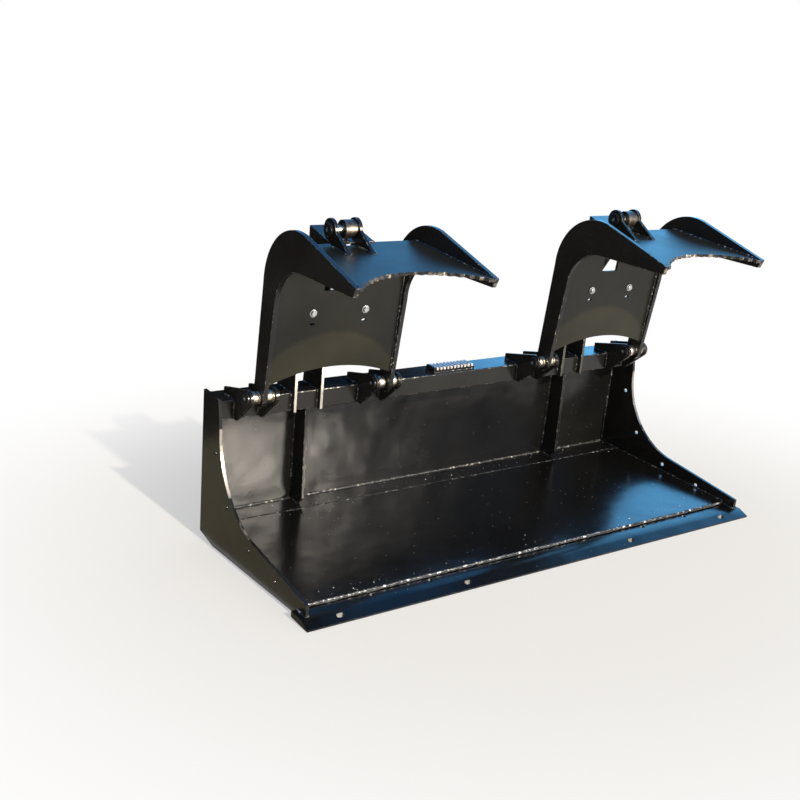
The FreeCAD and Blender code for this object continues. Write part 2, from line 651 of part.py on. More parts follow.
def make_claw_plate(label, across):
    bore = ("-" + HINGE_ALONG, HINGE_UP, "Dim.hinge_pin_radius + Dim.pin_fit")
    side_view_plate(label, across, "Dim.claw_plate_thick", [claw_plate_outline()], [bore])


# The cross panel is one plate bent at a knee and a ridge. Its foot is cut in an arch,
# its front edge in a toothed arc, and a window at the ridge lets the cylinder through.
def make_claw_panel(label, across):
    rear = [
        ("-Dim.panel_foot_along", PANEL_FOOT_UP),
        ("-Dim.panel_knee_along", KNEE_UP),
        ("-Dim.ridge_along", RIDGE_UP),
        ("-" + NOSE_ALONG, NOSE_UP),
    ]
    front = [
        ("-" + NOSE_ALONG, NOSE_UP + " - Dim.panel_thick"),
        ("-Dim.ridge_along - Dim.panel_thick * 0.5", RIDGE_UP + " - Dim.panel_thick"),
        ("-Dim.panel_knee_along - Dim.panel_thick", KNEE_UP),
        ("-Dim.panel_foot_along - Dim.panel_thick", PANEL_FOOT_UP),
    ]
    body = new_body(label)
    pad(body, new_sketch(body, "YZ_Plane", [rear + front]), "2 * " + CLAW_INNER_HALF, middle=True)
    make_arch(body)
    make_toothed_bite(body)
    window = [
        ("-" + WINDOW_FRONT, WINDOW_FOOT_UP),
        ("-Dim.panel_foot_along", WINDOW_FOOT_UP),
        ("-Dim.panel_foot_along", RIDGE_UP + " + Dim.panel_thick"),
        ("-" + WINDOW_FRONT, RIDGE_UP + " + Dim.panel_thick"),
    ]
    cut(
        body, new_sketch(body, "YZ_Plane", [window], offset="Dim.cylinder_across"),
        "2 * (Dim.gland_radius + Dim.rod_window_gap)",
    )
    make_panel_holes(body)
    seat(body, across)
    return body


def make_arch(body):
    half = CLAW_INNER_HALF
    radius = "((%s^2 + Dim.panel_arch^2) / (2 * Dim.panel_arch))" % half
    below = PANEL_FOOT_UP + " - Dim.panel_arch"
    arch = [
        ("-" + half, below),
        (half, below),
        (half, PANEL_FOOT_UP, radius),
        ("-" + half, PANEL_FOOT_UP),
    ]
    cut(body, new_sketch(body, "XZ_Plane", [arch]), "4 * " + NOSE_ALONG)


def make_toothed_bite(body):
    half = CLAW_INNER_HALF
    radius = "((%s^2 + Dim.panel_bite^2) / (2 * Dim.panel_bite))" % half
    centre = "(-%s + Dim.panel_bite - %s)" % (NOSE_ALONG, radius)
    spread = "asin(%s / %s)" % (half, radius)
    teeth = int(number("Dim.bite_teeth"))
    front = "-" + NOSE_ALONG + " - Dim.panel_bite"
    corners = [("-" + half, front), (half, front)]
    for step in range(2 * teeth, -1, -1):
        share = (step - teeth) / teeth
        reach = radius if step % 2 == 0 else "(%s - Dim.bite_tooth)" % radius
        corners.append(
            (
                "%s * sin(%s * %.6f)" % (reach, spread, share),
                "%s + %s * cos(%s * %.6f)" % (centre, reach, spread, share),
            )
        )
    cut(body, new_sketch(body, "XY_Plane", [corners]), "4 * " + RIDGE_UP)


def make_panel_holes(body):
    slots = []
    holes = []
    for sign in ("-", ""):
        place = sign + "Dim.panel_bolt_across"
        holes.append((place, PANEL_BOLT_UP, "Dim.panel_bolt_radius + Dim.panel_bolt_gap"))
        slots.append(
            slot_loop(place, PANEL_SLOT_UP, "Dim.panel_slot_length", "Dim.panel_slot_radius")
        )
    cut(body, new_sketch(body, "XZ_Plane", slots, holes), "4 * " + NOSE_ALONG)


# A raised guard behind the ridge covers the rod where it passes through the window.
def make_guard(label, across):
    body = new_body(label)
    outline = [
        ("-Dim.ridge_along", RIDGE_UP),
        ("-Dim.panel_knee_along", KNEE_UP),
        ("-Dim.guard_rear_along", KNEE_UP),
        ("-Dim.guard_rear_along", GUARD_REAR_UP),
    ]
    pad(body, new_sketch(body, "YZ_Plane", [outline]), "Dim.guard_width", middle=True)
    hollow = [
        ("-Dim.ridge_along - Dim.guard_thick", RIDGE_UP + " - Dim.guard_thick"),
        ("-Dim.ridge_along - Dim.guard_thick", KNEE_UP + " - Dim.guard_thick"),
        ("-Dim.guard_rear_along + Dim.guard_thick", KNEE_UP + " - Dim.guard_thick"),
        ("-Dim.guard_rear_along + Dim.guard_thick", GUARD_REAR_UP + " - Dim.guard_thick"),
    ]
    cut(body, new_sketch(body, "YZ_Plane", [hollow]), "Dim.guard_width - 2 * Dim.guard_thick")
    notch = [
        ("-Dim.ridge_along - Dim.guard_thick", KNEE_UP),
        ("-" + NOTCH_REAR, KNEE_UP),
        ("-" + NOTCH_REAR, GUARD_REAR_UP),
        ("-Dim.ridge_along - Dim.guard_thick", GUARD_REAR_UP),
    ]
    cut(
        body, new_sketch(body, "YZ_Plane", [notch], offset="Dim.cylinder_across"),
        "2 * (Dim.rod_radius + Dim.guard_notch_gap)",
    )
    seat(body, across)


# Claw lugs stand on the upper part of the panel and carry the rod's pin.
def make_claw_lug(label, across):
    deck = "(%s - (Dim.claw_lug_foot - Dim.ridge_along) * %s)" % (RIDGE_UP, DECK_SLOPE)
    heel = "(-%s - Dim.lug_window_gap)" % WINDOW_FRONT
    heel_up = "(%s + (%s + Dim.ridge_along) * %s)" % (RIDGE_UP, heel, DECK_SLOPE)
    boss = ("-Dim.rod_pin_along", ROD_PIN_UP, "Dim.claw_lug_radius")
    low = around(*boss, "-60")
    high = around(*boss, "60")
    front = around(*boss, "180")
    outline = [
        (heel, heel_up),
        (low[0], low[1], "Dim.claw_lug_radius"),
        (high[0], high[1], "Dim.claw_lug_radius"),
        front,
        ("-Dim.claw_lug_foot", deck),
    ]
    pin = ("-Dim.rod_pin_along", ROD_PIN_UP, "Dim.cylinder_pin_radius + Dim.pin_fit")
    side_view_plate(label, across + " - Dim.lug_thick / 2", "Dim.lug_thick", [outline], [pin])


# Base lugs straddle the top tube and carry the cylinder's lower pin.
def make_base_lug(label, across):
    outline = [
        ("-Dim.tube_front", TUBE_BOTTOM),
        ("-Dim.tube_front", "Dim.tube_top"),
        ("Dim.tube_rear", "Dim.tube_top"),
        ("-Dim.base_pin_along + Dim.base_lug_radius", BASE_PIN_UP, "Dim.base_lug_radius", "y"),
        ("-Dim.base_pin_along - Dim.base_lug_radius", BASE_PIN_UP),
        ("-" + BASE_LUG_FRONT, BASE_PIN_UP + " - 2 * Dim.base_lug_radius"),
        ("-" + BASE_LUG_FRONT, TUBE_BOTTOM),
    ]
    pin = ("-Dim.base_pin_along", BASE_PIN_UP, "Dim.cylinder_pin_radius + Dim.pin_fit")
    side_view_plate(label, across + " - Dim.lug_thick / 2", "Dim.lug_thick", [outline], [pin])


# Hinge ears wrap the tube's front corner, with a rounded nose about the hinge pin.
def make_ear(label, across):
    chin = around("-" + HINGE_ALONG, HINGE_UP, "Dim.ear_radius", "-Dim.ear_chin_turn")
    nose = around("-" + HINGE_ALONG, HINGE_UP, "Dim.ear_radius", "Dim.ear_nose_turn")
    outline = [
        ("-Dim.ear_rear_along", "Dim.tube_top"),
        ("-Dim.tube_front", "Dim.tube_top"),
        ("-Dim.tube_front", TUBE_BOTTOM),
        ("-" + EAR_POINT_ALONG, TUBE_BOTTOM),
        (chin[0], chin[1], "-Dim.ear_radius"),
        nose,
        ("-Dim.ear_rear_along", EAR_REAR_UP),
    ]
    pin = ("-" + HINGE_ALONG, HINGE_UP, "Dim.hinge_pin_radius + Dim.pin_fit")
    side_view_plate(label, across + " - Dim.ear_thick / 2", "Dim.ear_thick", [outline], [pin])


# A headed pin along the width. Places run from its own middle.
def make_pin(label, across, along, up, start, end, radius):
    body = new_body(label)
    steps = [
        ("%s - Dim.pin_head_thick" % start, start, "Dim.pin_head_radius"),
        (start, end, radius),
        (end, "%s + Dim.pin_head_thick" % end, "Dim.pin_head_radius"),
    ]
    turn_steps(body, "XY_Plane", steps, "H_Axis")
    seat(body, across, along, up)


def make_ring(label, across, along, up, start, end, radius, bore):
    body = new_body(label)
    turn_steps(body, "XY_Plane", [(start, end, radius)], "H_Axis", bore)
    seat(body, across, along, up)
    return body


# Pieces of one kind share a node and stay separate solids in it.
def group_pieces(label, bodies):
    group = doc.addObject("Part::Compound", label)
    group.Label = label
    group.Links = bodies
    grouped.extend(bodies)


grouped = []


def make_hinge(side, place, across, sign):
    make_ear("hinge_ear_%s_%s_inner" % (side, place), "%s + %s1 * %s" % (across, sign, EAR_INNER))
    make_ear("hinge_ear_%s_%s_outer" % (side, place), "%s + %s1 * %s" % (across, sign, EAR_OUTER))
    near = "(%s + Dim.ear_thick / 2)" % EAR_INNER
    far = "(%s - Dim.ear_thick / 2)" % EAR_OUTER
    leg_near = CLAW_INNER_HALF
    leg_far = "(Dim.claw_width / 2)"
    middle = "((%s + %s) / 2)" % (EAR_INNER, EAR_OUTER)
    half = "((%s - %s + Dim.ear_thick) / 2)" % (EAR_OUTER, EAR_INNER)
    hinge = ("-" + HINGE_ALONG, HINGE_UP)
    make_pin(
        "hinge_pin_%s_%s" % (side, place), "%s + %s1 * %s" % (across, sign, middle),
        hinge[0], hinge[1], "-" + half, half, "Dim.hinge_pin_radius",
    )
    bore = "(Dim.hinge_pin_radius + Dim.pin_fit)"
    rings = []
    for name, start, end in (("inner", near, leg_near), ("outer", leg_far, far)):
        length = "(%s - %s)" % (end, start)
        gap = "Dim.side_gap"
        centre = "%s + %s1 * (%s + %s) / 2" % (across, sign, start, end)
        rings.append(
            make_ring(
                "ring_%s_%s_%s" % (side, place, name), centre, hinge[0], hinge[1],
                "-%s / 2 + %s" % (length, gap), "%s / 2 - %s" % (length, gap),
                "Dim.spacer_radius", bore,
            )
        )
    return rings


# Bolts through the panel, with head and nut, square to its face.
def make_panel_bolts(label, across):
    face = "(-Dim.panel_foot_along - Dim.panel_bolt_rise * %s - Dim.panel_thick)" % PANEL_SLOPE
    bolts = []
    for sign in ("-", ""):
        body = new_body("%s%s" % (label, "_a" if sign else "_b"))
        steps = [
            ("-Dim.bolt_head_height", "0", "Dim.bolt_head_radius"),
            ("0", "Dim.panel_thick", "Dim.panel_bolt_radius"),
            ("Dim.panel_thick", "Dim.panel_thick + Dim.bolt_head_height", "Dim.bolt_head_radius"),
        ]
        turn_steps(body, "XY_Plane", steps, "V_Axis")
        seat(
            body, "%s + %s1 * Dim.panel_bolt_across" % (across, sign or "+"),
            face, PANEL_BOLT_UP, PANEL_LEAN + " / 1 deg",
        )
        bolts.append(body)
    group_pieces(label, bolts)


# Cylinder parts are drawn upright on the base pin and leaned to the rod's pin.
def seat_on_cylinder(body, across):
    seat(body, across, "-Dim.base_pin_along", BASE_PIN_UP, CYLINDER_LEAN + " / 1 deg")


def make_barrel(label, across):
    body = new_body(label)
    eye = new_sketch(body, "YZ_Plane", circles=[("0", "0", "Dim.base_eye_radius")])
    pad(body, eye, "Dim.base_eye_width", middle=True)
    foot = "Dim.base_eye_radius - 5"
    floor = "Dim.base_eye_radius + 12"
    wall = [
        ("0", foot),
        ("Dim.barrel_radius", foot),
        ("Dim.barrel_radius", BARREL_LENGTH),
        ("Dim.bore_radius", BARREL_LENGTH),
        ("Dim.bore_radius", floor),
        ("0", floor),
    ]
    sketch = new_sketch(body, "XZ_Plane", [wall])
    feature = body.newObject("PartDesign::Revolution", label + "_turn")
    feature.Profile = sketch
    feature.ReferenceAxis = (sketch, ["V_Axis"])
    feature.Angle = 360
    doc.recompute()
    for place in (floor + " + Dim.port_inset / 2", BARREL_LENGTH + " - Dim.port_inset"):
        port = new_sketch(
            body, "XZ_Plane", circles=[("0", place, "Dim.port_radius")],
            offset="-Dim.barrel_radius - Dim.port_height",
        )
        pad(body, port, "Dim.port_height + (Dim.barrel_radius - Dim.bore_radius) * 0.8")
        drill = new_sketch(
            body, "XZ_Plane", circles=[("0", place, "Dim.port_radius / 2")],
            offset="-Dim.barrel_radius",
        )
        cut(body, drill, "2 * (Dim.port_height + 1)")
    bore = new_sketch(
        body, "YZ_Plane", circles=[("0", "0", "Dim.cylinder_pin_radius + Dim.pin_fit")]
    )
    cut(body, bore, "2 * Dim.base_eye_width")
    seat_on_cylinder(body, across)


def make_gland(label, across):
    body = new_body(label)
    ends = (BARREL_LENGTH, BARREL_LENGTH + " + Dim.gland_length")
    turn_steps(
        body, "XZ_Plane", [(ends[0], ends[1], "Dim.gland_radius")], "V_Axis",
        "Dim.rod_radius + Dim.pin_fit",
    )
    seat_on_cylinder(body, across)


def make_rod(label, across):
    body = new_body(label)
    shank_end = "%s - Dim.rod_eye_radius + 6" % CYLINDER_REACH
    turn_steps(body, "XZ_Plane", [("Dim.rod_tail", shank_end, "Dim.rod_radius")], "V_Axis")
    eye = new_sketch(body, "YZ_Plane", circles=[("0", CYLINDER_REACH, "Dim.rod_eye_radius")])
    pad(body, eye, "Dim.rod_eye_width", middle=True)
    bore = new_sketch(
        body, "YZ_Plane",
        circles=[("0", CYLINDER_REACH, "Dim.cylinder_pin_radius + Dim.pin_fit")],
    )
    cut(body, bore, "2 * Dim.rod_eye_width")
    seat_on_cylinder(body, across)


def make_piston(label, across):
    body = new_body(label)
    ends = ("Dim.rod_tail + 2", "Dim.rod_tail + 2 + Dim.piston_length")
    turn_steps(
        body, "XZ_Plane", [(ends[0], ends[1], "Dim.bore_radius - Dim.pin_fit")], "V_Axis",
        "Dim.rod_radius + Dim.pin_fit / 5",
    )
    seat_on_cylinder(body, across)


# The base pin: its core turns with the barrel's eye, and each end sits in a lug.
def make_base_pin(side, across):
    along = "-Dim.base_pin_along"
    up = BASE_PIN_UP
    core = new_body("base_pin_core_%s" % side)
    sketch = new_sketch(core, "YZ_Plane", circles=[("0", "0", "Dim.cylinder_pin_radius")])
    pad(core, sketch, "Dim.base_eye_width", middle=True)
    seat(core, "%s + Dim.cylinder_across" % across, along, up)
    ends = []
    eye = "(Dim.barrel_radius + Dim.base_pin_gap)"
    for place, sign, gap in (
        ("left", "-", "Dim.base_lug_left_gap"), ("right", "+", "Dim.base_lug_right_gap")
    ):
        lug = "(Dim.barrel_radius + %s + Dim.lug_thick)" % gap
        steps = [
            (eye, lug, "Dim.cylinder_pin_radius"),
            (lug, lug + " + Dim.pin_head_thick", "Dim.pin_head_radius"),
        ]
        if sign == "-":
            steps = [("-" + end, "-" + start, radius) for start, end, radius in reversed(steps)]
            steps[0] = ("-%s - Dim.pin_head_thick" % lug, "-" + lug, "Dim.pin_head_radius")
        body = new_body("pin_end_%s_%s" % (side, place))
        turn_steps(body, "XY_Plane", steps, "H_Axis")
        seat(body, "%s + Dim.cylinder_across" % across, along, up)
        ends.append(body)
    group_pieces("base_pin_ends_%s" % side, ends)


def make_claw(side, across):
    make_claw_plate("claw_%s_plate_a" % side, "%s - Dim.claw_width / 2" % across)
    make_claw_plate("claw_%s_plate_b" % side, "%s + %s" % (across, CLAW_INNER_HALF))
    make_claw_panel("claw_%s_panel" % side, across)
    make_guard("claw_%s_guard" % side, across)
    make_claw_lug("claw_%s_lug_a" % side, "%s + %s" % (across, CLAW_LUG_LEFT))
    make_claw_lug("claw_%s_lug_b" % side, "%s + %s" % (across, CLAW_LUG_RIGHT))
    make_base_lug("base_lug_%s_a" % side, "%s + %s" % (across, BASE_LUG_LEFT))
    make_base_lug("base_lug_%s_b" % side, "%s + %s" % (across, BASE_LUG_RIGHT))
    rings = make_hinge(side, "a", across, "-") + make_hinge(side, "b", across, "+")
    group_pieces("hinge_spacers_%s" % side, rings)
    make_panel_bolts("claw_%s_bolts" % side, across)
    plane = "%s + Dim.cylinder_across" % across
    make_barrel("cylinder_%s_barrel" % side, plane)
    make_gland("cylinder_%s_gland" % side, plane)
    make_rod("cylinder_%s_rod" % side, plane)
    make_piston("cylinder_%s_piston" % side, plane)
    make_pin(
        "rod_pin_%s" % side, across, "-Dim.rod_pin_along", ROD_PIN_UP,
        CLAW_LUG_LEFT + " - Dim.lug_thick / 2", CLAW_LUG_RIGHT + " + Dim.lug_thick / 2",
        "Dim.cylinder_pin_radius",
    )
    make_base_pin(side, across)


make_claw("left", "-" + CLAW_ACROSS)
make_claw("right", CLAW_ACROSS)

doc.recompute()

for item in doc.Objects:
    if "Invalid" in item.State or "Error" in item.State:
        raise ValueError("%s did not build: %s" % (item.Label, item.State))

os.makedirs("parts", exist_ok=True)
pieces = []
for item in doc.Objects:
    if item.TypeId in ("PartDesign::Body", "Part::Compound") and item not in grouped:
        pieces.append(item)
for piece in pieces:
    if piece.Shape.isNull() or not piece.Shape.isValid():
        raise ValueError("%s has no valid shape" % piece.Label)
for piece in pieces:
    piece.Shape.exportStep("parts/%s.step" % piece.Label)
print("%d nodes" % len(pieces))
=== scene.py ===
import json
import math
import random

import bmesh
import bpy
from mathutils import Matrix, Vector, noise

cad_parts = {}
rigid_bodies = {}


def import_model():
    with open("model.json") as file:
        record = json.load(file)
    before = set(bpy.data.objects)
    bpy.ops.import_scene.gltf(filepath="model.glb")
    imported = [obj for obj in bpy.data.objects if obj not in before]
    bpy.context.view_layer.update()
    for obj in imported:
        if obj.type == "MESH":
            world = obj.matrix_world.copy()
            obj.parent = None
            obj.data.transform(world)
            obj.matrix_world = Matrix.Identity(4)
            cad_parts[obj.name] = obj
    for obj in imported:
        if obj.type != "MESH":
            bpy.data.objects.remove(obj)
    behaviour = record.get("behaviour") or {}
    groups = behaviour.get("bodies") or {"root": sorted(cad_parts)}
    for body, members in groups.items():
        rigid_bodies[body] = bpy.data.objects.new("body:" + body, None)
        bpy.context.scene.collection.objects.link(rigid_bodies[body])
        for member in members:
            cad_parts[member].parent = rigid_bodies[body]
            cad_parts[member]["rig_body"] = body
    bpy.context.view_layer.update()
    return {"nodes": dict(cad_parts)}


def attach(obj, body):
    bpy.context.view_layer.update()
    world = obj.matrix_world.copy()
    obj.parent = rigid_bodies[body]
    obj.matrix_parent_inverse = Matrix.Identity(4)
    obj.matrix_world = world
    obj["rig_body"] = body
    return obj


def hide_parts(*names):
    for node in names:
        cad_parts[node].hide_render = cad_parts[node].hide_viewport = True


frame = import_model()
random.seed(7)
print("frame loaded:", len(frame["nodes"]), "nodes")

# The bucket's own side view: across the width, along (forward is negative) from the
# face of the back plate, up from the floor. It sits tipped and moved on the ground.
bucketView = {"tipDegrees": 4.0307, "shift": 343.81, "lift": 82.35}  # mm


def spot(across, along, up):
    tip = math.radians(bucketView["tipDegrees"])
    forward = bucketView["shift"] + along * math.cos(tip) - up * math.sin(tip)
    height = bucketView["lift"] + along * math.sin(tip) + up * math.cos(tip)
    return Vector((across, forward, height)) / 1000


def heading(along, up):  # a direction in the side view
    tip = math.radians(bucketView["tipDegrees"])
    turned = (along * math.cos(tip) - up * math.sin(tip), along * math.sin(tip) + up * math.cos(tip))
    return Vector((0, *turned)).normalized()


def linear(code):  # sRGB hex to linear
    parts = [int(code[i:i + 2], 16) / 255 for i in (1, 3, 5)]
    return tuple(p / 12.92 if p <= 0.04045 else ((p + 0.055) / 1.055) ** 2.4 for p in parts) + (1.0,)


def addNode(tree, kind, settings=(), links=()):
    node = tree.nodes.new(kind)
    for key, value in dict(settings).items():
        if isinstance(key, int) or key in node.inputs:
            node.inputs[key].default_value = value
        else:
            setattr(node, key, value)
    for key, source in dict(links).items():
        tree.links.new(source, node.inputs[key])
    return node


def newFinish(name):
    finish = bpy.data.materials.new(name)
    finish.use_nodes = True
    tree = finish.node_tree
    tree.nodes.clear()
    paint = addNode(tree, "ShaderNodeBsdfPrincipled")
    addNode(tree, "ShaderNodeOutputMaterial", links={"Surface": paint.outputs[0]})
    place = addNode(tree, "ShaderNodeTexCoord").outputs["Object"]  # metres on the piece
    return finish, tree, paint, place


# Alkyd enamel, sprayed gloss over rolled plate: deep black with a wet shine, a faint
# orange peel, slow ripples where welding drew the plate, and a thin film of pale dust that
# the load rubs off level faces.
enamelLook = {
    "black": "#0b0c0d",
    "dust": "#756f65",
    "steel": "#a8a294",
    "peelMm": 6,           # real peel is 2 mm, drawn coarser so that it shows
    "peelDepthMm": 0.006,
    "rippleMm": 105,       # distance between the dents of a welded plate
    "cloudMm": 190,        # slow clouds of dust
    "leastDust": 0.45,     # share of the dust between the clouds
    "levelDust": 0.55,     # share of it that the load leaves on level faces
    "scratchMm": 5,        # between scratches across their run
    "scratchRun": 9,       # changes per metre along their run
    "scratchTurn": 0.12,   # radians
    "fleckMm": 24,         # between specks of grit
    "fewerFlecks": 0.62,   # share of the specks that are left out
    "duller": 0.25,        # what a mark adds to the roughness
}


def makeEnamel(name, dust, rough, scratches=0, flecks=0, drawnMm=1.6, ior=1.47, tone=enamelLook["dust"]):
    finish, tree, paint, place = newFinish(name)
    look = enamelLook
    peel = addNode(
        tree, "ShaderNodeTexNoise", {"Scale": 1000 / look["peelMm"], "Detail": 2.0}, {"Vector": place}
    )
    ripple = addNode(
        tree, "ShaderNodeTexNoise", {"Scale": 1000 / look["rippleMm"], "Detail": 1.0}, {"Vector": place}
    )
    cloud = addNode(
        tree, "ShaderNodeTexNoise",
        {"Scale": 1000 / look["cloudMm"], "Detail": 3.0, "Roughness": 0.5}, {"Vector": place},
    )
    normal = addNode(tree, "ShaderNodeNewGeometry").outputs["Normal"]
    facing = addNode(tree, "ShaderNodeSeparateXYZ", links={0: normal})
    upward = addNode(
        tree, "ShaderNodeMapRange",
        {"From Min": -0.2, "From Max": 1.0, "To Min": 1.0, "To Max": look["levelDust"]},
        {"Value": facing.outputs["Z"]},
    )
    settled = addNode(
        tree, "ShaderNodeMapRange",
        {"From Min": 0.25, "From Max": 0.8, "To Min": dust * look["leastDust"], "To Max": dust},
        {"Value": cloud.outputs["Fac"]},
    )
    dusted = addNode(
        tree, "ShaderNodeMath", {"operation": "MULTIPLY"}, {0: upward.outputs[0], 1: settled.outputs[0]}
    )
    coat = addNode(
        tree, "ShaderNodeMix", {"data_type": "RGBA", 6: linear(look["black"]), 7: linear(tone)},
        {0: dusted.outputs[0]},
    )
    run = addNode(
        tree, "ShaderNodeMapping",
        {
            "Scale": (1000 / look["scratchMm"], look["scratchRun"], look["scratchRun"]),
            "Rotation": (0, 0, look["scratchTurn"]),
        },
        {"Vector": place},
    )
    lines = addNode(tree, "ShaderNodeTexNoise", {"Scale": 1.0, "Detail": 3.0}, {"Vector": run.outputs[0]})
    scratched = addNode(
        tree, "ShaderNodeMapRange",
        {"From Min": 0.66, "From Max": 0.74, "To Min": 0.0, "To Max": scratches},
        {"Value": lines.outputs["Fac"]},
    )
    grit = addNode(tree, "ShaderNodeTexVoronoi", {"Scale": 1000 / look["fleckMm"]}, {"Vector": place})
    speck = addNode(
        tree, "ShaderNodeMapRange",
        {"From Min": 0.05, "From Max": 0.09, "To Min": flecks, "To Max": 0.0},
        {"Value": grit.outputs["Distance"]},
    )
    chosen = addNode(tree, "ShaderNodeSeparateColor", links={0: grit.outputs["Color"]})
    some = addNode(
        tree, "ShaderNodeMath", {"operation": "GREATER_THAN", 1: look["fewerFlecks"]}, {0: chosen.outputs[0]}
    )
    gritty = addNode(
        tree, "ShaderNodeMath", {"operation": "MULTIPLY"}, {0: speck.outputs[0], 1: some.outputs[0]}
    )
    marked = addNode(
        tree, "ShaderNodeMath", {"operation": "MAXIMUM"}, {0: scratched.outputs[0], 1: gritty.outputs[0]}
    )
    worn = addNode(
        tree, "ShaderNodeMix", {"data_type": "RGBA", 7: linear(look["steel"])},
        {0: marked.outputs[0], 6: coat.outputs[2]},
    )
    shine = addNode(
        tree, "ShaderNodeMapRange",
        {"From Min": 0.3, "From Max": 0.75, "To Min": rough - 0.03, "To Max": rough + 0.04},
        {"Value": cloud.outputs["Fac"]},
    )
    dull = addNode(
        tree, "ShaderNodeMath", {"operation": "MULTIPLY_ADD", 1: look["duller"]},
        {0: marked.outputs[0], 2: shine.outputs[0]},
    )
    drawn = addNode(
        tree, "ShaderNodeBump", {"Strength": 1.0, "Distance": drawnMm / 1000},
        {"Height": ripple.outputs["Fac"]},
    )
    bumpy = addNode(
        tree, "ShaderNodeBump", {"Strength": 1.0, "Distance": look["peelDepthMm"] / 1000},
        {"Height": peel.outputs["Fac"], "Normal": drawn.outputs[0]},
    )
    tree.links.new(worn.outputs[2], paint.inputs["Base Color"])
    tree.links.new(dull.outputs[0], paint.inputs["Roughness"])
    tree.links.new(bumpy.outputs[0], paint.inputs["Normal"])
    paint.inputs["IOR"].default_value = ior
    return finish


# Enamel that has thinned over sheared and flame cut edges, with bare steel showing. Weld
# beads are made the same way, as are two finishes of painted light: near white hole walls
# for light seen through the holes, and lug faces that are bright on one claw and dull on the other.
edgeLook = {
    "paint": "#1a1a19", "steelFrom": 0.62, "steelFull": 0.72, "barer": 0.3, "metalShare": 0.75,
    "roughLow": 0.26, "roughHigh": 0.48, "pitMm": 0.3,
}


def makeWornEdge(name, bare, steel, speckMm):
    finish, tree, paint, place = newFinish(name)
    look = edgeLook
    chips = addNode(
        tree, "ShaderNodeTexNoise",
        {"Scale": 1000 / speckMm, "Detail": 5.0, "Roughness": 0.65}, {"Vector": place},
    )
    lower = look["barer"] * bare  # steel shows from a lower noise up
    shown = addNode(
        tree, "ShaderNodeMapRange",
        {"From Min": look["steelFrom"] - lower, "From Max": look["steelFull"] - lower},
        {"Value": chips.outputs["Fac"]},
    )
    colour = addNode(
        tree, "ShaderNodeMix", {"data_type": "RGBA", 6: linear(look["paint"]), 7: linear(steel)},
        {0: shown.outputs[0]},
    )
    metal = addNode(
        tree, "ShaderNodeMath", {"operation": "MULTIPLY", 1: look["metalShare"]}, {0: shown.outputs[0]}
    )
    rough = addNode(
        tree, "ShaderNodeMapRange",
        {"From Min": 0.3, "From Max": 0.7, "To Min": look["roughLow"], "To Max": look["roughHigh"]},
        {"Value": chips.outputs["Fac"]},
    )
    pits = addNode(
        tree, "ShaderNodeBump", {"Strength": 0.7, "Distance": look["pitMm"] / 1000},
        {"Height": chips.outputs["Fac"]},
    )
    tree.links.new(colour.outputs[2], paint.inputs["Base Color"])
    tree.links.new(metal.outputs[0], paint.inputs["Metallic"])
    tree.links.new(rough.outputs[0], paint.inputs["Roughness"])
    tree.links.new(pits.outputs[0], paint.inputs["Normal"])
    return finish


# Metals: a base colour with slow blotches, roughness that varies, and tool marks that
# run round the piece (stretch shortens the pattern along the width).
def makeMetal(name, light, dark, roughness, markMm, stretch, depthMm):
    finish, tree, paint, place = newFinish(name)
    turned = addNode(tree, "ShaderNodeMapping", {"Scale": (stretch, 1, 1)}, {"Vector": place})
    marks = addNode(
        tree, "ShaderNodeTexNoise", {"Scale": 1000 / markMm, "Detail": 3.0}, {"Vector": turned.outputs[0]}
    )
    blotch = addNode(  # about 14 mm apart
        tree, "ShaderNodeTexNoise", {"Scale": 70, "Detail": 4.0}, {"Vector": place}
    )
    mixed = addNode(
        tree, "ShaderNodeMapRange", {"From Min": 0.35, "From Max": 0.7}, {"Value": blotch.outputs["Fac"]}
    )
    colour = addNode(
        tree, "ShaderNodeMix", {"data_type": "RGBA", 6: linear(light), 7: linear(dark)}, {0: mixed.outputs[0]}
    )
    rough = addNode(
        tree, "ShaderNodeMapRange",
        {"From Min": 0.3, "From Max": 0.7, "To Min": roughness[0], "To Max": roughness[1]},
        {"Value": marks.outputs["Fac"]},
    )
    grooves = addNode(
        tree, "ShaderNodeBump", {"Strength": 0.8, "Distance": depthMm / 1000},
        {"Height": marks.outputs["Fac"]},
    )
    tree.links.new(colour.outputs[2], paint.inputs["Base Color"])
    tree.links.new(rough.outputs[0], paint.inputs["Roughness"])
    tree.links.new(grooves.outputs[0], paint.inputs["Normal"])
    paint.inputs["Metallic"].default_value = 1.0
    return finish


enamel = makeEnamel("glossEnamel", dust=0.13, rough=0.24)
# The back plate, drawn most by its welds.
shellEnamel = makeEnamel("dustyEnamel", dust=0.08, rough=0.25, flecks=0.3, drawnMm=3.4)
# The floor, which the load scratches, and the cutting edge, which it keeps clean.
floorEnamel = makeEnamel("rubbedEnamel", dust=0.05, rough=0.2, scratches=0.05, flecks=0.6)
cleanEnamel = makeEnamel("washedEnamel", dust=0.03, rough=0.22, flecks=0.3)
# The claws' cross panels: less shine, under a warm film.
panelEnamel = makeEnamel("satinEnamel", dust=0.16, rough=0.38, ior=1.35, tone="#837c56")

wornEdge = makeWornEdge("wornEdgeEnamel", bare=0.24, steel="#b9b1a2", speckMm=14)
# Bare flame cut steel, made brighter as painted highlight, for the left claw's lug front faces in the sun.
lugFaceBareAndPaintedHighlight = makeWornEdge("flameCutEdgeAndPaintedHighlight", bare=1.2, steel="#c2bbae", speckMm=70)
# Painted shade: the same lug front faces on the right claw, made dull and dark for less light.
lugFacePaintedShade = makeWornEdge("lugFacePaintedShade", bare=1.2, steel="#5a5850", speckMm=70)
paleEdge = makeWornEdge("thinEdgeEnamel", bare=0.3, steel="#aaa08e", speckMm=30)
rubbedEdge = makeWornEdge("rubbedEdge", bare=1.0, steel="#9c9488", speckMm=60)
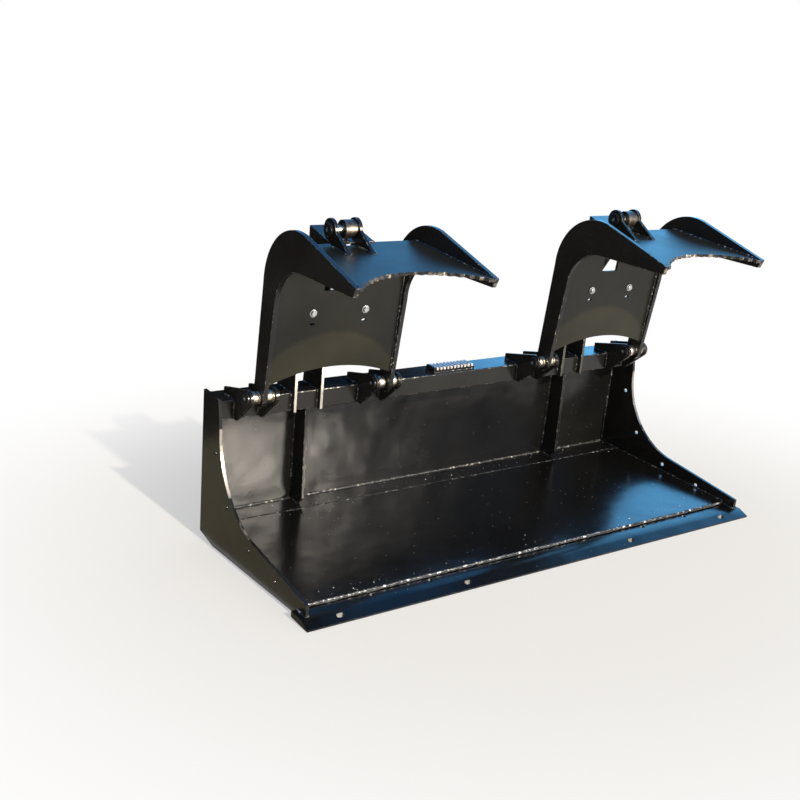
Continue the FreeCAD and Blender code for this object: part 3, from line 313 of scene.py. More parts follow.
# Painted light: hole walls made near white, which stands for light seen through the holes.
holeWallsPaintedLight = makeWornEdge("holeWallsPaintedLight", bare=1.2, steel="#e4dfd4", speckMm=30)
weldMetal = makeWornEdge("enamelledWeld", bare=0.2, steel="#d8d2c6", speckMm=12)
brightWeld = makeWornEdge("brightWeld", bare=0.34, steel="#f4f0e8", speckMm=17)

# Forged and oiled, brown and dull.
eyeSteel = makeMetal("oiledSteel", "#726b60", "#4a453e", (0.34, 0.5), markMm=20, stretch=8, depthMm=0.05)
# Turned bright, with fine lines round it.
turnedSteel = makeMetal(
    "turnedSteel", "#e6dcc8", "#b3a68f", (0.22, 0.40), markMm=40, stretch=14, depthMm=0.05
)
# Electroplated, an even pale grey.
zincPlate = makeMetal(
    "zincPlatedSteel", "#c9cbc9", "#8f908c", (0.28, 0.45), markMm=6, stretch=1, depthMm=0.04
)
# Hot dipped, pale and slightly lumpy.
galvanised = makeMetal(
    "galvanisedSteel", "#eee6e0", "#b9b0a8", (0.32, 0.5), markMm=9, stretch=1, depthMm=0.08
)
# Ground and plated, a clear mirror.
hardChrome = makeMetal("hardChrome", "#d9dadc", "#c4c6c8", (0.06, 0.14), markMm=50, stretch=1, depthMm=0.01)
# Turned, then blackened in a bath, with a low shine.
blackenedSteel = makeMetal(
    "blackenedSteel", "#5d5a55", "#34322f", (0.3, 0.46), markMm=8, stretch=6, depthMm=0.05
)
print("finishes made")


def addPiece(name, mesh, body, finishes, nodes=()):
    piece = bpy.data.objects.new(name, mesh)
    bpy.context.scene.collection.objects.link(piece)
    for finish in finishes:
        mesh.materials.append(finish)
    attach(piece, body)
    if nodes:
        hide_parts(*nodes)
    return piece


def meshFrom(shape, name, sharpDegrees=32):
    mesh = bpy.data.meshes.new(name)
    shape.normal_update()
    shape.to_mesh(mesh)
    shape.free()
    mesh.shade_smooth()
    mesh.set_sharp_from_angle(angle=math.radians(sharpDegrees))
    return mesh


def roundEdges(piece, widthMm, segments=2, finishIndex=-1, fromDegrees=30):
    bevel = piece.modifiers.new("edges", "BEVEL")
    bevel.width = widthMm / 1000
    bevel.segments = segments
    bevel.limit_method = "ANGLE"
    bevel.angle_limit = math.radians(fromDegrees)
    bevel.harden_normals = True
    bevel.material = finishIndex


def camel(node):
    first, *rest = node.split("_")
    return first + "".join(word.capitalize() for word in rest)


# A plate as it leaves the welding shop: the solid's flat faces, with broken edges. The
# edges take the second finish where there is one.
def dressNode(node, finishes, widthMm, segments=2, choose=None):
    source = frame["nodes"][node]
    shape = bmesh.new()
    shape.from_mesh(source.data)
    for layer in list(shape.loops.layers.uv):
        shape.loops.layers.uv.remove(layer)
    bmesh.ops.remove_doubles(shape, verts=shape.verts, dist=0.00002)
    bmesh.ops.dissolve_limit(shape, angle_limit=math.radians(0.8), verts=shape.verts, edges=shape.edges)
    if choose:
        shape.normal_update()
    for face in shape.faces:
        face.material_index = choose(face) if choose else 0
    mesh = bpy.data.meshes.new(camel(node))
    shape.to_mesh(mesh)
    shape.free()
    if "custom_normal" in mesh.attributes:
        mesh.attributes.remove(mesh.attributes["custom_normal"])
    mesh.shade_smooth()
    mesh.set_sharp_from_angle(angle=math.radians(30))
    piece = addPiece(camel(node), mesh, source["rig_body"], finishes, [node])
    roundEdges(piece, widthMm, segments, 1 if len(finishes) > 1 else -1)


# What picks out the faces below, in metres. A front is how far forward a face looks.
faceLimits = {
    "lugFront": -0.9, "lugArea": 0.0008,
    "toothFront": -0.55, "toothPlace": -0.14, "toothArea": 0.004,
    "holeReach": 0.013, "holeArea": 0.00004, "edgeFront": -0.2, "uprightFront": -0.75,
}


# Front faces of the upright lugs, which the light catches as pale strips.
def frontFaces(face):
    return 2 if face.normal.y < faceLimits["lugFront"] and face.calc_area() > faceLimits["lugArea"] else 0


# Forward faces at the claws' tips and teeth, where the load wears the enamel thin.
def toothFaces(face):
    ahead = face.normal.y < faceLimits["toothFront"]
    atTip = face.calc_center_median().y < faceLimits["toothPlace"]
    return 2 if ahead and atTip and face.calc_area() < faceLimits["toothArea"] else 0


# Walls of small holes (2) and the curved front edges of the side plates (3), which the
# load rubs bare where they stand upright (4).
def holeWalls(face):
    middle = face.calc_center_median()
    reach = max((v.co - middle).length for v in face.verts)
    if reach > faceLimits["holeReach"] or abs(face.normal.x) > 0.5:
        return 0
    if face.calc_area() < faceLimits["holeArea"]:
        return 2
    if face.normal.y < faceLimits["uprightFront"]:
        return 4
    return 3 if face.normal.y < faceLimits["edgeFront"] else 0


edgeMm = {  # how wide each kind of edge is broken
    "plate": 1.6, "tube": 5.0, "side": 2.0, "lug": 1.8, "ear": 1.6, "claw": 2.2, "panel": 1.3,
    "guard": 1.4, "barrel": 1.2, "turned": 1.0, "pinEnd": 1.2, "pinCore": 0.8,
}

for node in ("back_plate", "heel_plate"):
    dressNode(node, [shellEnamel, wornEdge], edgeMm["plate"])
for node in ("coupler_plate", "coupler_upper_lip", "coupler_lower_flange"):
    dressNode(node, [enamel, wornEdge], edgeMm["plate"])
dressNode("floor_plate", [floorEnamel, wornEdge], edgeMm["plate"])
# The cutting edge's slot walls take the near white hole finish, painted light for light seen through the
# slots.
edgeFinishes = [cleanEnamel, wornEdge, holeWallsPaintedLight, holeWallsPaintedLight, holeWallsPaintedLight]
dressNode("cutting_edge", edgeFinishes, edgeMm["plate"], choose=holeWalls)
dressNode("top_tube", [enamel, wornEdge], edgeMm["tube"], segments=3)
for side in ("left", "right"):
    wall = enamel if side == "left" else holeWallsPaintedLight  # the right plate's hole walls are near white, painted light for light seen through the holes; the left plate's stay enamel
    sideFinishes = [enamel, wornEdge, wall, paleEdge, rubbedEdge]
    # The lug front faces are bright on the left claw and dull on the right: painted highlight and painted
    # shade for the same faces.
    lugFinishes = [enamel, wornEdge, lugFaceBareAndPaintedHighlight if side == "left" else lugFacePaintedShade]
    dressNode("side_plate_" + side, sideFinishes, edgeMm["side"], choose=holeWalls)
    dressNode("inner_post_" + side, [enamel, wornEdge], edgeMm["side"])
    for letter in "ab":
        clawPlate = "claw_%s_plate_%s" % (side, letter)
        dressNode("base_lug_%s_%s" % (side, letter), lugFinishes, edgeMm["lug"], choose=frontFaces)
        dressNode("claw_%s_lug_%s" % (side, letter), [enamel, wornEdge], edgeMm["lug"])
        dressNode(clawPlate, [enamel, wornEdge, paleEdge], edgeMm["claw"], choose=toothFaces)
        for part in ("inner", "outer"):
            dressNode("hinge_ear_%s_%s_%s" % (side, letter, part), [enamel, wornEdge], edgeMm["ear"])
    panelFinishes = [panelEnamel, wornEdge, paleEdge]
    dressNode("claw_%s_panel" % side, panelFinishes, edgeMm["panel"], choose=toothFaces)
    dressNode("claw_%s_guard" % side, [enamel, wornEdge], edgeMm["guard"])
    dressNode("cylinder_%s_barrel" % side, [enamel], edgeMm["barrel"])
    dressNode("cylinder_%s_piston" % side, [turnedSteel], edgeMm["turned"])
print("plates dressed")


# Turns a profile of (place, radius) in mm about an axis. More sides make it rounder.
def turnShape(shape, centre, axis, profile, sides=48):
    axis = axis.normalized()
    side = axis.cross(Vector((0.2, 0.5, 0.84))).normalized()  # any direction off the axis
    rise = axis.cross(side)
    rings = []
    for number in range(sides):
        angle = 2 * math.pi * number / sides
        out = side * math.cos(angle) + rise * math.sin(angle)
        rings.append([shape.verts.new(centre + axis * (p / 1000) + out * (r / 1000)) for p, r in profile])
    for number in range(sides):
        here, there = rings[number], rings[(number + 1) % sides]
        for step in range(len(profile) - 1):
            shape.faces.new((here[step], here[step + 1], there[step + 1], there[step]))
    bmesh.ops.remove_doubles(shape, verts=[v for ring in rings for v in ring], dist=0.000001)


clawMiddles = {"left": -580.0, "right": 580.0}
boreSlack = 0.05  # mm between a sleeve and what it sits on

hingeParts = {
    "along": -187.0, "up": 463.0, "pinRadius": 15.0, "headRadius": 22.0, "headLength": 8.0,
    "inner": 187.0, "outer": 274.0, "earHalf": 5.0, "legNear": 224.5, "legFar": 240.5,
    "spacerRadius": 21.0, "washer": 4.0, "gap": 0.3,
}
pinEnds = {"gap": 0.02, "chamfer": 2, "markDepth": 1.5, "markRim": 6, "markFloor": 4}


# A headed pin: chamfered collars, a shank, and a turned centre mark in each end.
def makeHeadedPin(node, body, centre, half, radius, head, length):
    p = pinEnds
    end = half + length
    half = half + p["gap"]
    collar = [
        (half, radius), (half, head), (end - p["chamfer"], head), (end, head - p["chamfer"]),
        (end, p["markRim"]), (end - p["markDepth"], p["markFloor"]), (end - p["markDepth"], 0),
    ]
    shape = bmesh.new()
    mirrored = [(-place, wide) for place, wide in reversed(collar)]
    turnShape(shape, centre, Vector((1, 0, 0)), mirrored + collar)
    bmesh.ops.recalc_face_normals(shape, faces=shape.faces)
    for face in shape.faces:  # the collars are painted, the shank and the centre marks are bare
        middle = face.calc_center_median() - centre
        bare = abs(middle.x) * 1000 < half or math.hypot(middle.y, middle.z) * 1000 < p["markRim"]
        face.material_index = 0 if bare else 1
    addPiece(camel(node), meshFrom(shape, camel(node)), body, [turnedSteel, enamel], [node])


# A sleeve between an ear and the claw's leg: a washer, a groove and a crowned tube.
def turnSpacer(shape, start, end, centre, sign):
    h = hingeParts
    near, far = start + h["gap"], end - h["gap"]
    r = h["spacerRadius"]
    inside = h["pinRadius"] + boreSlack
    groove = near + h["washer"]
    profile = [
        (near, inside), (near, r - 1), (near + 1, r), (groove - 1, r), (groove, r - 1),
        (groove + 0.6, r - 3.5), (groove + 2.5, r - 1.6), (groove + 6, r - 0.6),
        ((near + far) / 2 + 3, r - 0.2), (far - 5, r - 0.9),
        (far - 1.5, r - 2.2), (far, r - 3.4), (far, inside), (near, inside),
    ]
    turnShape(shape, centre, Vector((sign, 0, 0)), profile)


h = hingeParts
for side, middle in clawMiddles.items():
    spacers = bmesh.new()
    hinge = spot(middle, h["along"], h["up"])
    half = (h["outer"] - h["inner"]) / 2 + h["earHalf"]
    for letter, sign in (("a", -1), ("b", 1)):
        node = "hinge_pin_%s_%s" % (side, letter)
        centre = spot(middle + sign * (h["inner"] + h["outer"]) / 2, h["along"], h["up"])
        makeHeadedPin(node, "bucket", centre, half, h["pinRadius"], h["headRadius"], h["headLength"])
        turnSpacer(spacers, h["inner"] + h["earHalf"], h["legNear"], hinge, sign)
        turnSpacer(spacers, h["legFar"], h["outer"] - h["earHalf"], hinge, sign)
    bmesh.ops.recalc_face_normals(spacers, faces=spacers.faces)
    node = "hinge_spacers_" + side
    addPiece(camel(node), meshFrom(spacers, camel(node)), "bucket", [turnedSteel], [node])
print("hinge pins and spacers turned")

cylinderParts = {
    "offset": -28.0, "base": (-50.0, 605.0), "rodPin": (-300.0, 1006.0),
    "pinRadius": 12.5, "headRadius": 22.0, "headLength": 8.0,
    "lugLeft": -85.0, "lugRight": -1.0, "lugHalf": 6.0,
    "mouth": 372.06, "glandLength": 26.0, "glandRadius": 34.0, "lipFoot": 22.0, "lipTop": 20.0,
    "rodRadius": 15.0, "eyeReach": 30.0,
}


# The rod's faces from its eye on, which is left unchromed.
def eyeFaces(start, run, eyeFrom):
    return lambda face: 2 if (face.calc_center_median() - start).dot(run) * 1000 > eyeFrom else 0


c = cylinderParts
for side, middle in clawMiddles.items():
    start, end = spot(middle + c["offset"], *c["base"]), spot(middle + c["offset"], *c["rodPin"])
    run = (end - start).normalized()
    reach = (end - start).length * 1000
    # gland: a screwed collar with one groove and a wiper lip
    a, b, r = c["mouth"], c["mouth"] + c["glandLength"], c["glandRadius"]
    inside = c["rodRadius"] + boreSlack
    gland = bmesh.new()
    turnShape(gland, start, run, [
        (a, inside), (a, r - 1.5), (a + 1.5, r), (a + 9, r), (a + 9.8, r - 1.6), (a + 11.2, r - 1.6),
        (a + 12, r), (b - 5, r), (b - 2, r - 3), (b - 2, c["lipFoot"]), (b, c["lipTop"]),
        (b, inside), (a, inside),
    ], 64)
    bmesh.ops.recalc_face_normals(gland, faces=gland.faces)
    node = "cylinder_%s_gland" % side
    glandMesh = meshFrom(gland, camel(node))
    addPiece(camel(node), glandMesh, "barrel_" + side, [blackenedSteel], [node])
    rodFinishes = [hardChrome, hardChrome, eyeSteel]
    pickEye = eyeFaces(start, run, reach - c["eyeReach"])
    dressNode("cylinder_%s_rod" % side, rodFinishes, edgeMm["turned"], choose=pickEye)
    half = (c["lugRight"] - c["lugLeft"]) / 2 + c["lugHalf"]
    centre = spot(middle + (c["lugLeft"] + c["lugRight"]) / 2, *c["rodPin"])
    sizes = (half, c["pinRadius"], c["headRadius"], c["headLength"])
    makeHeadedPin("rod_pin_" + side, "claw_" + side, centre, *sizes)
    dressNode("base_pin_ends_" + side, [enamel], edgeMm["pinEnd"])
    dressNode("base_pin_core_" + side, [turnedSteel], edgeMm["pinCore"])
print("cylinder parts made")


# Hexagon bolts through the cross panels: head with a washer in front, nut behind. The
# profiles are (place, radius) from the panel's face.
panelBolts = {
    "across": 94.0, "foot": (-207.5, 507.0), "knee": (-250.0, 905.0), "rise": 229.0, "thick": 10.0,
    "washer": [(0, 6), (0, 12.5), (0.5, 13), (1.6, 13), (2.1, 12.5), (2.1, 6)],
    "hexagon": [(2.1, 6), (2.1, 10), (7.0, 10), (8.0, 8.6)], "headTop": (8.0, 0), "nutTop": (8.0, 6),
    "shank": 6.0, "threadMm": 0.5, "flanks": 17, "tip": [(-18.4, 4.8), (-18.4, 0)], "roundMm": 0.35,
}


def behind(profile):  # the same profile on the panel's other side
    return [(-panelBolts["thick"] - place, radius) for place, radius in profile]


p = panelBolts
lean = (p["knee"][0] - p["foot"][0]) / (p["knee"][1] - p["foot"][1])
outward = heading(-1, lean)
thread = [(-p["thick"] - p["threadMm"] * n, p["shank"] - p["threadMm"] * (n % 2)) for n in range(p["flanks"])]
for side, middle in clawMiddles.items():
    along, up = p["foot"][0] + p["rise"] * lean - p["thick"], p["foot"][1] + p["rise"]
    shape = bmesh.new()
    for sign in (-1, 1):
        face = spot(middle + sign * p["across"], along, up)
        turnShape(shape, face, outward, p["washer"], 40)
        turnShape(shape, face, outward, [*p["hexagon"], p["headTop"]], 6)
        turnShape(shape, face, outward, behind(p["washer"]), 40)
        turnShape(shape, face, outward, behind([*p["hexagon"], p["nutTop"]]), 6)
        turnShape(shape, face, outward, [(0, p["shank"] - 0.1), *thread, *p["tip"]], 32)
    bmesh.ops.recalc_face_normals(shape, faces=shape.faces)
    node = "claw_%s_bolts" % side
    boltMesh = meshFrom(shape, camel(node))
    piece = addPiece(camel(node), boltMesh, "claw_" + side, [zincPlate], [node])
    roundEdges(piece, p["roundMm"], segments=1, fromDegrees=40)
print("panel bolts made")


# The step on the tube: bright serrated bars on a black plate, with a collar at one end.
stepParts = {
    "left": -70.0, "right": 110.0, "front": -80.0, "rear": -30.0, "foot": 429.0, "top": 447.0,
    "plate": 8.0, "bars": 11, "barWidth": 9.5, "collar": 8.0, "margin": 4, "notches": 5,
    "dips": (0.0, 1.2, 3.6, 1.2),  # one notch
    "roundMm": 0.9,
}


def addBlock(shape, low, high):
    ends = (low, high)
    corners = []
    for i in range(8):
        corners.append(shape.verts.new(spot(ends[i & 1][0], ends[i >> 1 & 1][1], ends[i >> 2][2])))
    for loop in ((0, 2, 3, 1), (4, 5, 7, 6), (0, 1, 5, 4), (2, 6, 7, 3), (0, 4, 6, 2), (1, 3, 7, 5)):
        shape.faces.new([corners[i] for i in loop])


def addSerratedBar(shape, left, right):
    s = stepParts
    foot = s["foot"] + s["plate"]
    count = s["notches"] * len(s["dips"])
    outline = []
    for step in range(count + 1):
        along = s["front"] + (s["rear"] - s["front"]) * step / count
        outline.append((along, s["top"] - s["dips"][step % len(s["dips"])]))
    outline += [(s["rear"], foot), (s["front"], foot)]
    rows = []
    for across in (left, right):
        rows.append([shape.verts.new(spot(across, *point)) for point in outline])
    faces = [shape.faces.new(rows[0][::-1]), shape.faces.new(rows[1])]
    for step in range(len(outline)):
        after = (step + 1) % len(outline)
        faces.append(shape.faces.new((rows[0][step], rows[0][after], rows[1][after], rows[1][step])))
    for face in faces:
        face.material_index = 1


s = stepParts
plateTop = s["foot"] + s["plate"]
barsFrom = s["left"] + s["collar"] + s["margin"]
pitch = (s["right"] - s["left"] - s["collar"] - s["margin"]) / s["bars"]
tread = bmesh.new()
addBlock(tread, (s["left"], s["front"], s["foot"]), (s["right"], s["rear"], plateTop))
addBlock(tread, (s["left"], s["front"], plateTop), (s["left"] + s["collar"], s["rear"], s["top"]))
for number in range(s["bars"]):
    left = barsFrom + pitch * number
    addSerratedBar(tread, left, left + s["barWidth"])
bmesh.ops.recalc_face_normals(tread, faces=tread.faces)
treadMesh = meshFrom(tread, "serratedStep")
piece = addPiece(
    "serratedStep", treadMesh, "bucket", [enamel, galvanised], ["serrated_step"]
)
roundEdges(piece, s["roundMm"])
print("step made")


# Weld beads: a rippled, lumpy round along each seam, half sunk in the plates.
weldLook = {
    "rippleMm": 5.2, "stepMm": 1.7, "sides": 8, "thin": 0.84, "crest": 0.2,
    "lumps": 62, "smallLumps": 171, "bends": 40,  # per metre
    "wander": 0.22, "endSize": 0.45, "growth": 0.2,
}


def layBead(shape, route, radiusMm, lump, seed):
    look = weldLook
    step = look["stepMm"] / 1000
    points = []
    for a, b in zip(route, route[1:]):
        count = max(2, round((b - a).length / step))
        points += [a.lerp(b, n / count) for n in range(count)]
    points.append(route[-1])
    rings, walked = [], 0.0
    for number, point in enumerate(points):
        before, after = points[max(number - 1, 0)], points[min(number + 1, len(points) - 1)]
        walked += (point - before).length
        ahead = (after - before).normalized()
        side = ahead.cross(Vector((0.31, 0.52, 0.79))).normalized()  # any direction off the seam
        rise = ahead.cross(side)
        phase = (walked * 1000 / look["rippleMm"]) % 1.0
        swell = noise.noise(Vector((seed, walked * look["lumps"], 1.7)))
        swell += 0.5 * noise.noise(Vector((seed, walked * look["smallLumps"], 4.1)))
        radius = radiusMm / 1000 * (look["thin"] + look["crest"] * math.sin(math.pi * phase) + lump * swell)
        ends = min(number, len(points) - 1 - number)
        radius *= min(1.0, look["endSize"] + look["growth"] * ends)
        drift = radiusMm / 1000 * look["wander"]
        centre = point + side * drift * noise.noise(Vector((walked * look["bends"], seed, 9.0)))
        centre += rise * drift * noise.noise(Vector((walked * look["bends"], seed, 3.0)))
        ring = []
        for corner in range(look["sides"]):
            angle = 2 * math.pi * corner / look["sides"]
            out = side * math.cos(angle) + rise * math.sin(angle)
            ring.append(shape.verts.new(centre + out * radius))
        rings.append(ring)
    for a, b in zip(rings, rings[1:]):
        for corner in range(len(a)):
            after = (corner + 1) % len(a)
            shape.faces.new((a[corner], a[after], b[after], b[corner]))
    shape.faces.new(rings[0][::-1])
    shape.faces.new(rings[-1])


# A seam is a route in the bucket's view, the bead's radius in mm, and how lumpy it is.
def seamUp(across, along, low, high, radius, lump):
    return [(across, along, low), (across, along, high)], radius, lump


def seamBack(across, front, rear, up, radius, lump):
    return [(across, front, up), (across, rear, up)], radius, lump


def seamAcross(left, right, along, up, radius, lump):
    return [(left, along, up), (right, along, up)], radius, lump


def weldPiece(name, body, finish, seams):
    shape = bmesh.new()
    for number, (route, radius, lump) in enumerate(seams):
        layBead(shape, [spot(*point) for point in route], radius, lump, seed=number * 3.7 + len(name))
    bmesh.ops.recalc_face_normals(shape, faces=shape.faces)
    addPiece(name, meshFrom(shape, name, 70), body, [finish])


shell = {
    "inner": 904.5, "outer": 914.5, "floorFront": -664.0, "heelFront": -90.0, "tipUp": -10.0,
    "tubeFront": -98.0, "tubeBottom": 365.0, "tubeTop": 429.0, "postAcross": 576.0, "postHalf": 6.0,
    "baseLugs": (-68, 30), "slitHalf": 78, "plateHalf": 574.5,
}
w = shell["inner"]
tubeFront, tubeBottom, tubeTop = shell["tubeFront"], shell["tubeBottom"], shell["tubeTop"]
weldPiece("heelBackWeld", "bucket", weldMetal, [seamAcross(-w, w, -1, 1, 5.0, 0.46)])
weldPiece("heelFloorWeld", "bucket", weldMetal, [seamAcross(-w, w, shell["heelFront"], -2.4, 4.2, 0.4)])
floorEdgeSeam = seamAcross(-w + 4, w - 4, shell["floorFront"] - 1, -3.4, 3.9, 0.5)
weldPiece("floorEdgeWeld", "bucket", brightWeld, [floorEdgeSeam])
cornerSeams = []
for x in (-w, w):
    cornerSeams += [
        seamBack(x, -660, -2, 0.5, 5.0, 0.3),
        seamUp(x, -1, 4, 362, 4.6, 0.3),
        seamUp(x, tubeFront, tubeBottom, 424, 3.6, 0.2),
        seamBack(x, -94, 2, tubeTop, 3.6, 0.2),
        seamBack(x, -94, -4, tubeBottom, 3.6, 0.2),
        seamUp(x, 8, -8, 362, 4.0, 0.2),
        seamBack(x, -600, -20, -10, 4.0, 0.2),
    ]
weldPiece("sideSeamWelds", "bucket", weldMetal, cornerSeams)
tipSeams = []
for sign in (-1, 1):
    x, out, up = sign * w, sign * shell["outer"], shell["tipUp"]
    tipSeams += [
        ([(out, -662, up), (out, -714, up), (x, -716, up)], 4.6, 0.4),
        ([(x, -714, up), (x, -672, up + 1)], 4.6, 0.4),
    ]
weldPiece("tipWelds", "bucket", brightWeld, tipSeams)
upperSeams = [seamAcross(-w + 4, w - 4, -1, tubeBottom - 1, 4.4, 0.25)]
for sign in (-1, 1):
    for half in (-shell["postHalf"], shell["postHalf"]):
        x = sign * shell["postAcross"] + half
        upperSeams += [
            seamUp(x, -1, 30, 362, 4.6, 0.32),
            seamBack(x, -46, -4, 1, 4.6, 0.35),
            seamBack(x, -68, -4, tubeBottom - 1, 3.8, 0.2),
        ]
for middle in clawMiddles.values():
    for lug in shell["baseLugs"]:
        for half in (-c["lugHalf"], c["lugHalf"]):
            x = middle + lug + half
            upperSeams += [
                seamUp(x, tubeFront, 366, 427, 4.0, 0.25),
                seamBack(x, -96, 2, tubeTop, 4.4, 0.28),
            ]
    for ear in (-h["outer"], -h["inner"], h["inner"], h["outer"]):
        for half in (-h["earHalf"], h["earHalf"]):
            x = middle + ear + half
            upperSeams += [
                seamUp(x, tubeFront, 366, 427, 3.8, 0.25),
                seamBack(x, -94, -24, tubeTop, 4.2, 0.28),
            ]
upperSeams += [
    seamUp(-shell["plateHalf"], 9, -6, 360, 4.6, 0.25),
    seamUp(shell["plateHalf"], 9, -6, 360, 4.6, 0.25),
    seamAcross(-570, 570, 19, 390, 4.8, 0.25),
    seamAcross(-570, 570, 19, -8, 4.8, 0.25),
    seamAcross(s["left"] + 3, s["right"] - 3, s["front"], s["foot"], 2.8, 0.2),
    seamAcross(s["left"] + 3, s["right"] - 3, s["rear"], s["foot"], 2.8, 0.2),
]
weldPiece("tubeAndLugWelds", "bucket", weldMetal, upperSeams)
for side, middle in clawMiddles.items():
    clawSeams = []
    for x in (middle - h["legNear"], middle + h["legNear"]):
        clawSeams += [
            ([(x, -218, 512), (x, -260.5, 905), (x, -297.5, 950), (x, -694, 924)], 4.4, 0.34),
            ([(x, -207, 512), (x, -249.5, 905), (x, -291.5, 962), (x, -694, 936)], 4.4, 0.3),
        ]
    for lug in (c["lugLeft"], c["lugRight"]):
        for half in (-c["lugHalf"], c["lugHalf"]):
            x = middle + lug + half
            clawSeams += [([(x, -413, 953.9), (x, -322, 959.8)], 4.2, 0.35)]
    clawSeams += [seamAcross(middle - 76, middle + 76, -291, 962, 4.0, 0.3)]
    for x in (middle - shell["slitHalf"], middle + shell["slitHalf"]):
        clawSeams += [([(x, -290, 960), (x, -252, 907)], 3.6, 0.25)]
    weldPiece("claw%sWelds" % side.capitalize(), "claw_" + side, weldMetal, clawSeams)
print("welds laid")

# Spatter: beads of metal thrown beside the seams and left under the paint. Each seam is a
# place along and how far the beads scatter from it.
spatterLook = {
    "count": 260, "smallMm": 0.9, "largeMm": 2.1, "flat": 0.7, "across": 895,
    "backSeam": (-7, 22), "heelSeam": (-90, 26), "frontSeam": (-655, 30), "first": -655, "last": -8,
}
spatter = bmesh.new()
for number in range(spatterLook["count"]):
    across = random.uniform(-spatterLook["across"], spatterLook["across"])
    place, scatter = spatterLook[("backSeam", "heelSeam", "frontSeam")[number % 3]]
    thrown = random.gauss(0, scatter)
    if number % 3 == 0:
        along = place - abs(thrown)
    elif number % 3 == 1:
        along = place + thrown
    else:
        along = place + abs(thrown)
    along = min(max(along, spatterLook["first"]), spatterLook["last"])
    size = random.uniform(spatterLook["smallMm"], spatterLook["largeMm"]) / 1000
    squash = Matrix.Diagonal((size, size, size * spatterLook["flat"], 1))
    bmesh.ops.create_icosphere(
        spatter, subdivisions=1, radius=1.0, matrix=Matrix.Translation(spot(across, along, 0.2)) @ squash
    )
addPiece("weldSpatter", meshFrom(spatter, "weldSpatter", 180), "bucket", [brightWeld])
print("spatter thrown")

# Studio: a pale floor that fades to white, and a soft even world. Gloss mirrors a white
# band low down, as the backdrop is, and a sky above it: deep blue, bright to the right of
# the middle, and dark again at the far right.
studio = {
    "floorRadius": 24.0, "floorDrop": 0.0005, "fadeStart": 0.9, "fadeEnd": 2.4, "leastWhite": 0.4,
    "floor": "#f4f3f0", "room": "#f6f7fa", "roomLevel": 0.46, "bandFrom": 0.02, "bandTo": 0.09,
    "skyDark": "#123f66", "sky": "#62b1e9", "skyLevel": 5.2,
    "brightWay": (0.966, 0.259, 0.0), "brightFrom": 0.6, "brightTo": 0.9,
    "endFrom": 0.8, "endTo": 0.96, "endLevel": 0.25,
}

floorShape = bmesh.new()
bmesh.ops.create_circle(floorShape, cap_ends=True, segments=96, radius=studio["floorRadius"])
floorMesh = bpy.data.meshes.new("studioFloor")
floorShape.to_mesh(floorMesh)
floorShape.free()
floor = bpy.data.objects.new("studioFloor", floorMesh)
floor.location = (0, 0, -studio["floorDrop"])
bpy.context.scene.collection.objects.link(floor)

floorPaint = bpy.data.materials.new("paleStudioFloor")
floorPaint.use_nodes = True
tree = floorPaint.node_tree
tree.nodes.clear()
place = addNode(tree, "ShaderNodeTexCoord").outputs["Object"]
away = addNode(tree, "ShaderNodeVectorMath", {"operation": "LENGTH"}, {0: place})
fade = addNode(
    tree, "ShaderNodeMapRange",
    {
        "interpolation_type": "SMOOTHSTEP", "From Min": studio["fadeStart"], "From Max": studio["fadeEnd"],
        "To Min": studio["leastWhite"],
    },
    {"Value": away.outputs["Value"]},
)
rays = addNode(tree, "ShaderNodeLightPath")
seen = addNode(
    tree, "ShaderNodeMath", {"operation": "MAXIMUM"},
    {0: rays.outputs["Is Camera Ray"], 1: rays.outputs["Is Transmission Ray"]},
)
seenOrMirrored = addNode(
    tree, "ShaderNodeMath", {"operation": "MAXIMUM"}, {0: seen.outputs[0], 1: rays.outputs["Is Glossy Ray"]}
)
share = addNode(
    tree, "ShaderNodeMath", {"operation": "MULTIPLY"}, {0: fade.outputs[0], 1: seenOrMirrored.outputs[0]}
)
matte = addNode(tree, "ShaderNodeBsdfDiffuse", {"Color": linear(studio["floor"])})
white = addNode(tree, "ShaderNodeEmission", {"Color": (1, 1, 1, 1), "Strength": 1.0})
both = addNode(
    tree, "ShaderNodeMixShader", links={0: share.outputs[0], 1: matte.outputs[0], 2: white.outputs[0]}
)
addNode(tree, "ShaderNodeOutputMaterial", links={"Surface": both.outputs[0]})
floorMesh.materials.append(floorPaint)

world = bpy.data.worlds.new("softStudio")
bpy.context.scene.world = world
world.use_nodes = True
tree = world.node_tree
tree.nodes.clear()
direction = addNode(tree, "ShaderNodeTexCoord").outputs["Generated"]
way = addNode(tree, "ShaderNodeSeparateXYZ", links={0: direction})
height = addNode(
    tree, "ShaderNodeMapRange",
    {"interpolation_type": "SMOOTHSTEP", "From Min": studio["bandFrom"], "From Max": studio["bandTo"]},
    {"Value": way.outputs["Z"]},
)
whiteBand = addNode(tree, "ShaderNodeBackground", {"Color": (1, 1, 1, 1), "Strength": 1.0})
across = addNode(
    tree, "ShaderNodeVectorMath", {"operation": "DOT_PRODUCT", 1: studio["brightWay"]}, {0: direction}
)
turn = addNode(
    tree, "ShaderNodeMapRange",
    {"interpolation_type": "SMOOTHSTEP", "From Min": studio["brightFrom"], "From Max": studio["brightTo"]},
    {"Value": across.outputs["Value"]},
)
ending = addNode(  # the bright sky stops before the far right
    tree, "ShaderNodeMapRange",
    {
        "interpolation_type": "SMOOTHSTEP", "From Min": studio["endFrom"], "From Max": studio["endTo"],
        "To Min": 1.0, "To Max": studio["endLevel"],
    },
    {"Value": way.outputs["X"]},
)
bright = addNode(
    tree, "ShaderNodeMath", {"operation": "MULTIPLY"}, {0: turn.outputs[0], 1: ending.outputs[0]}
)
tone = addNode(
    tree, "ShaderNodeMix", {"data_type": "RGBA", 6: linear(studio["skyDark"]), 7: linear(studio["sky"])},
    {0: bright.outputs[0]},
)
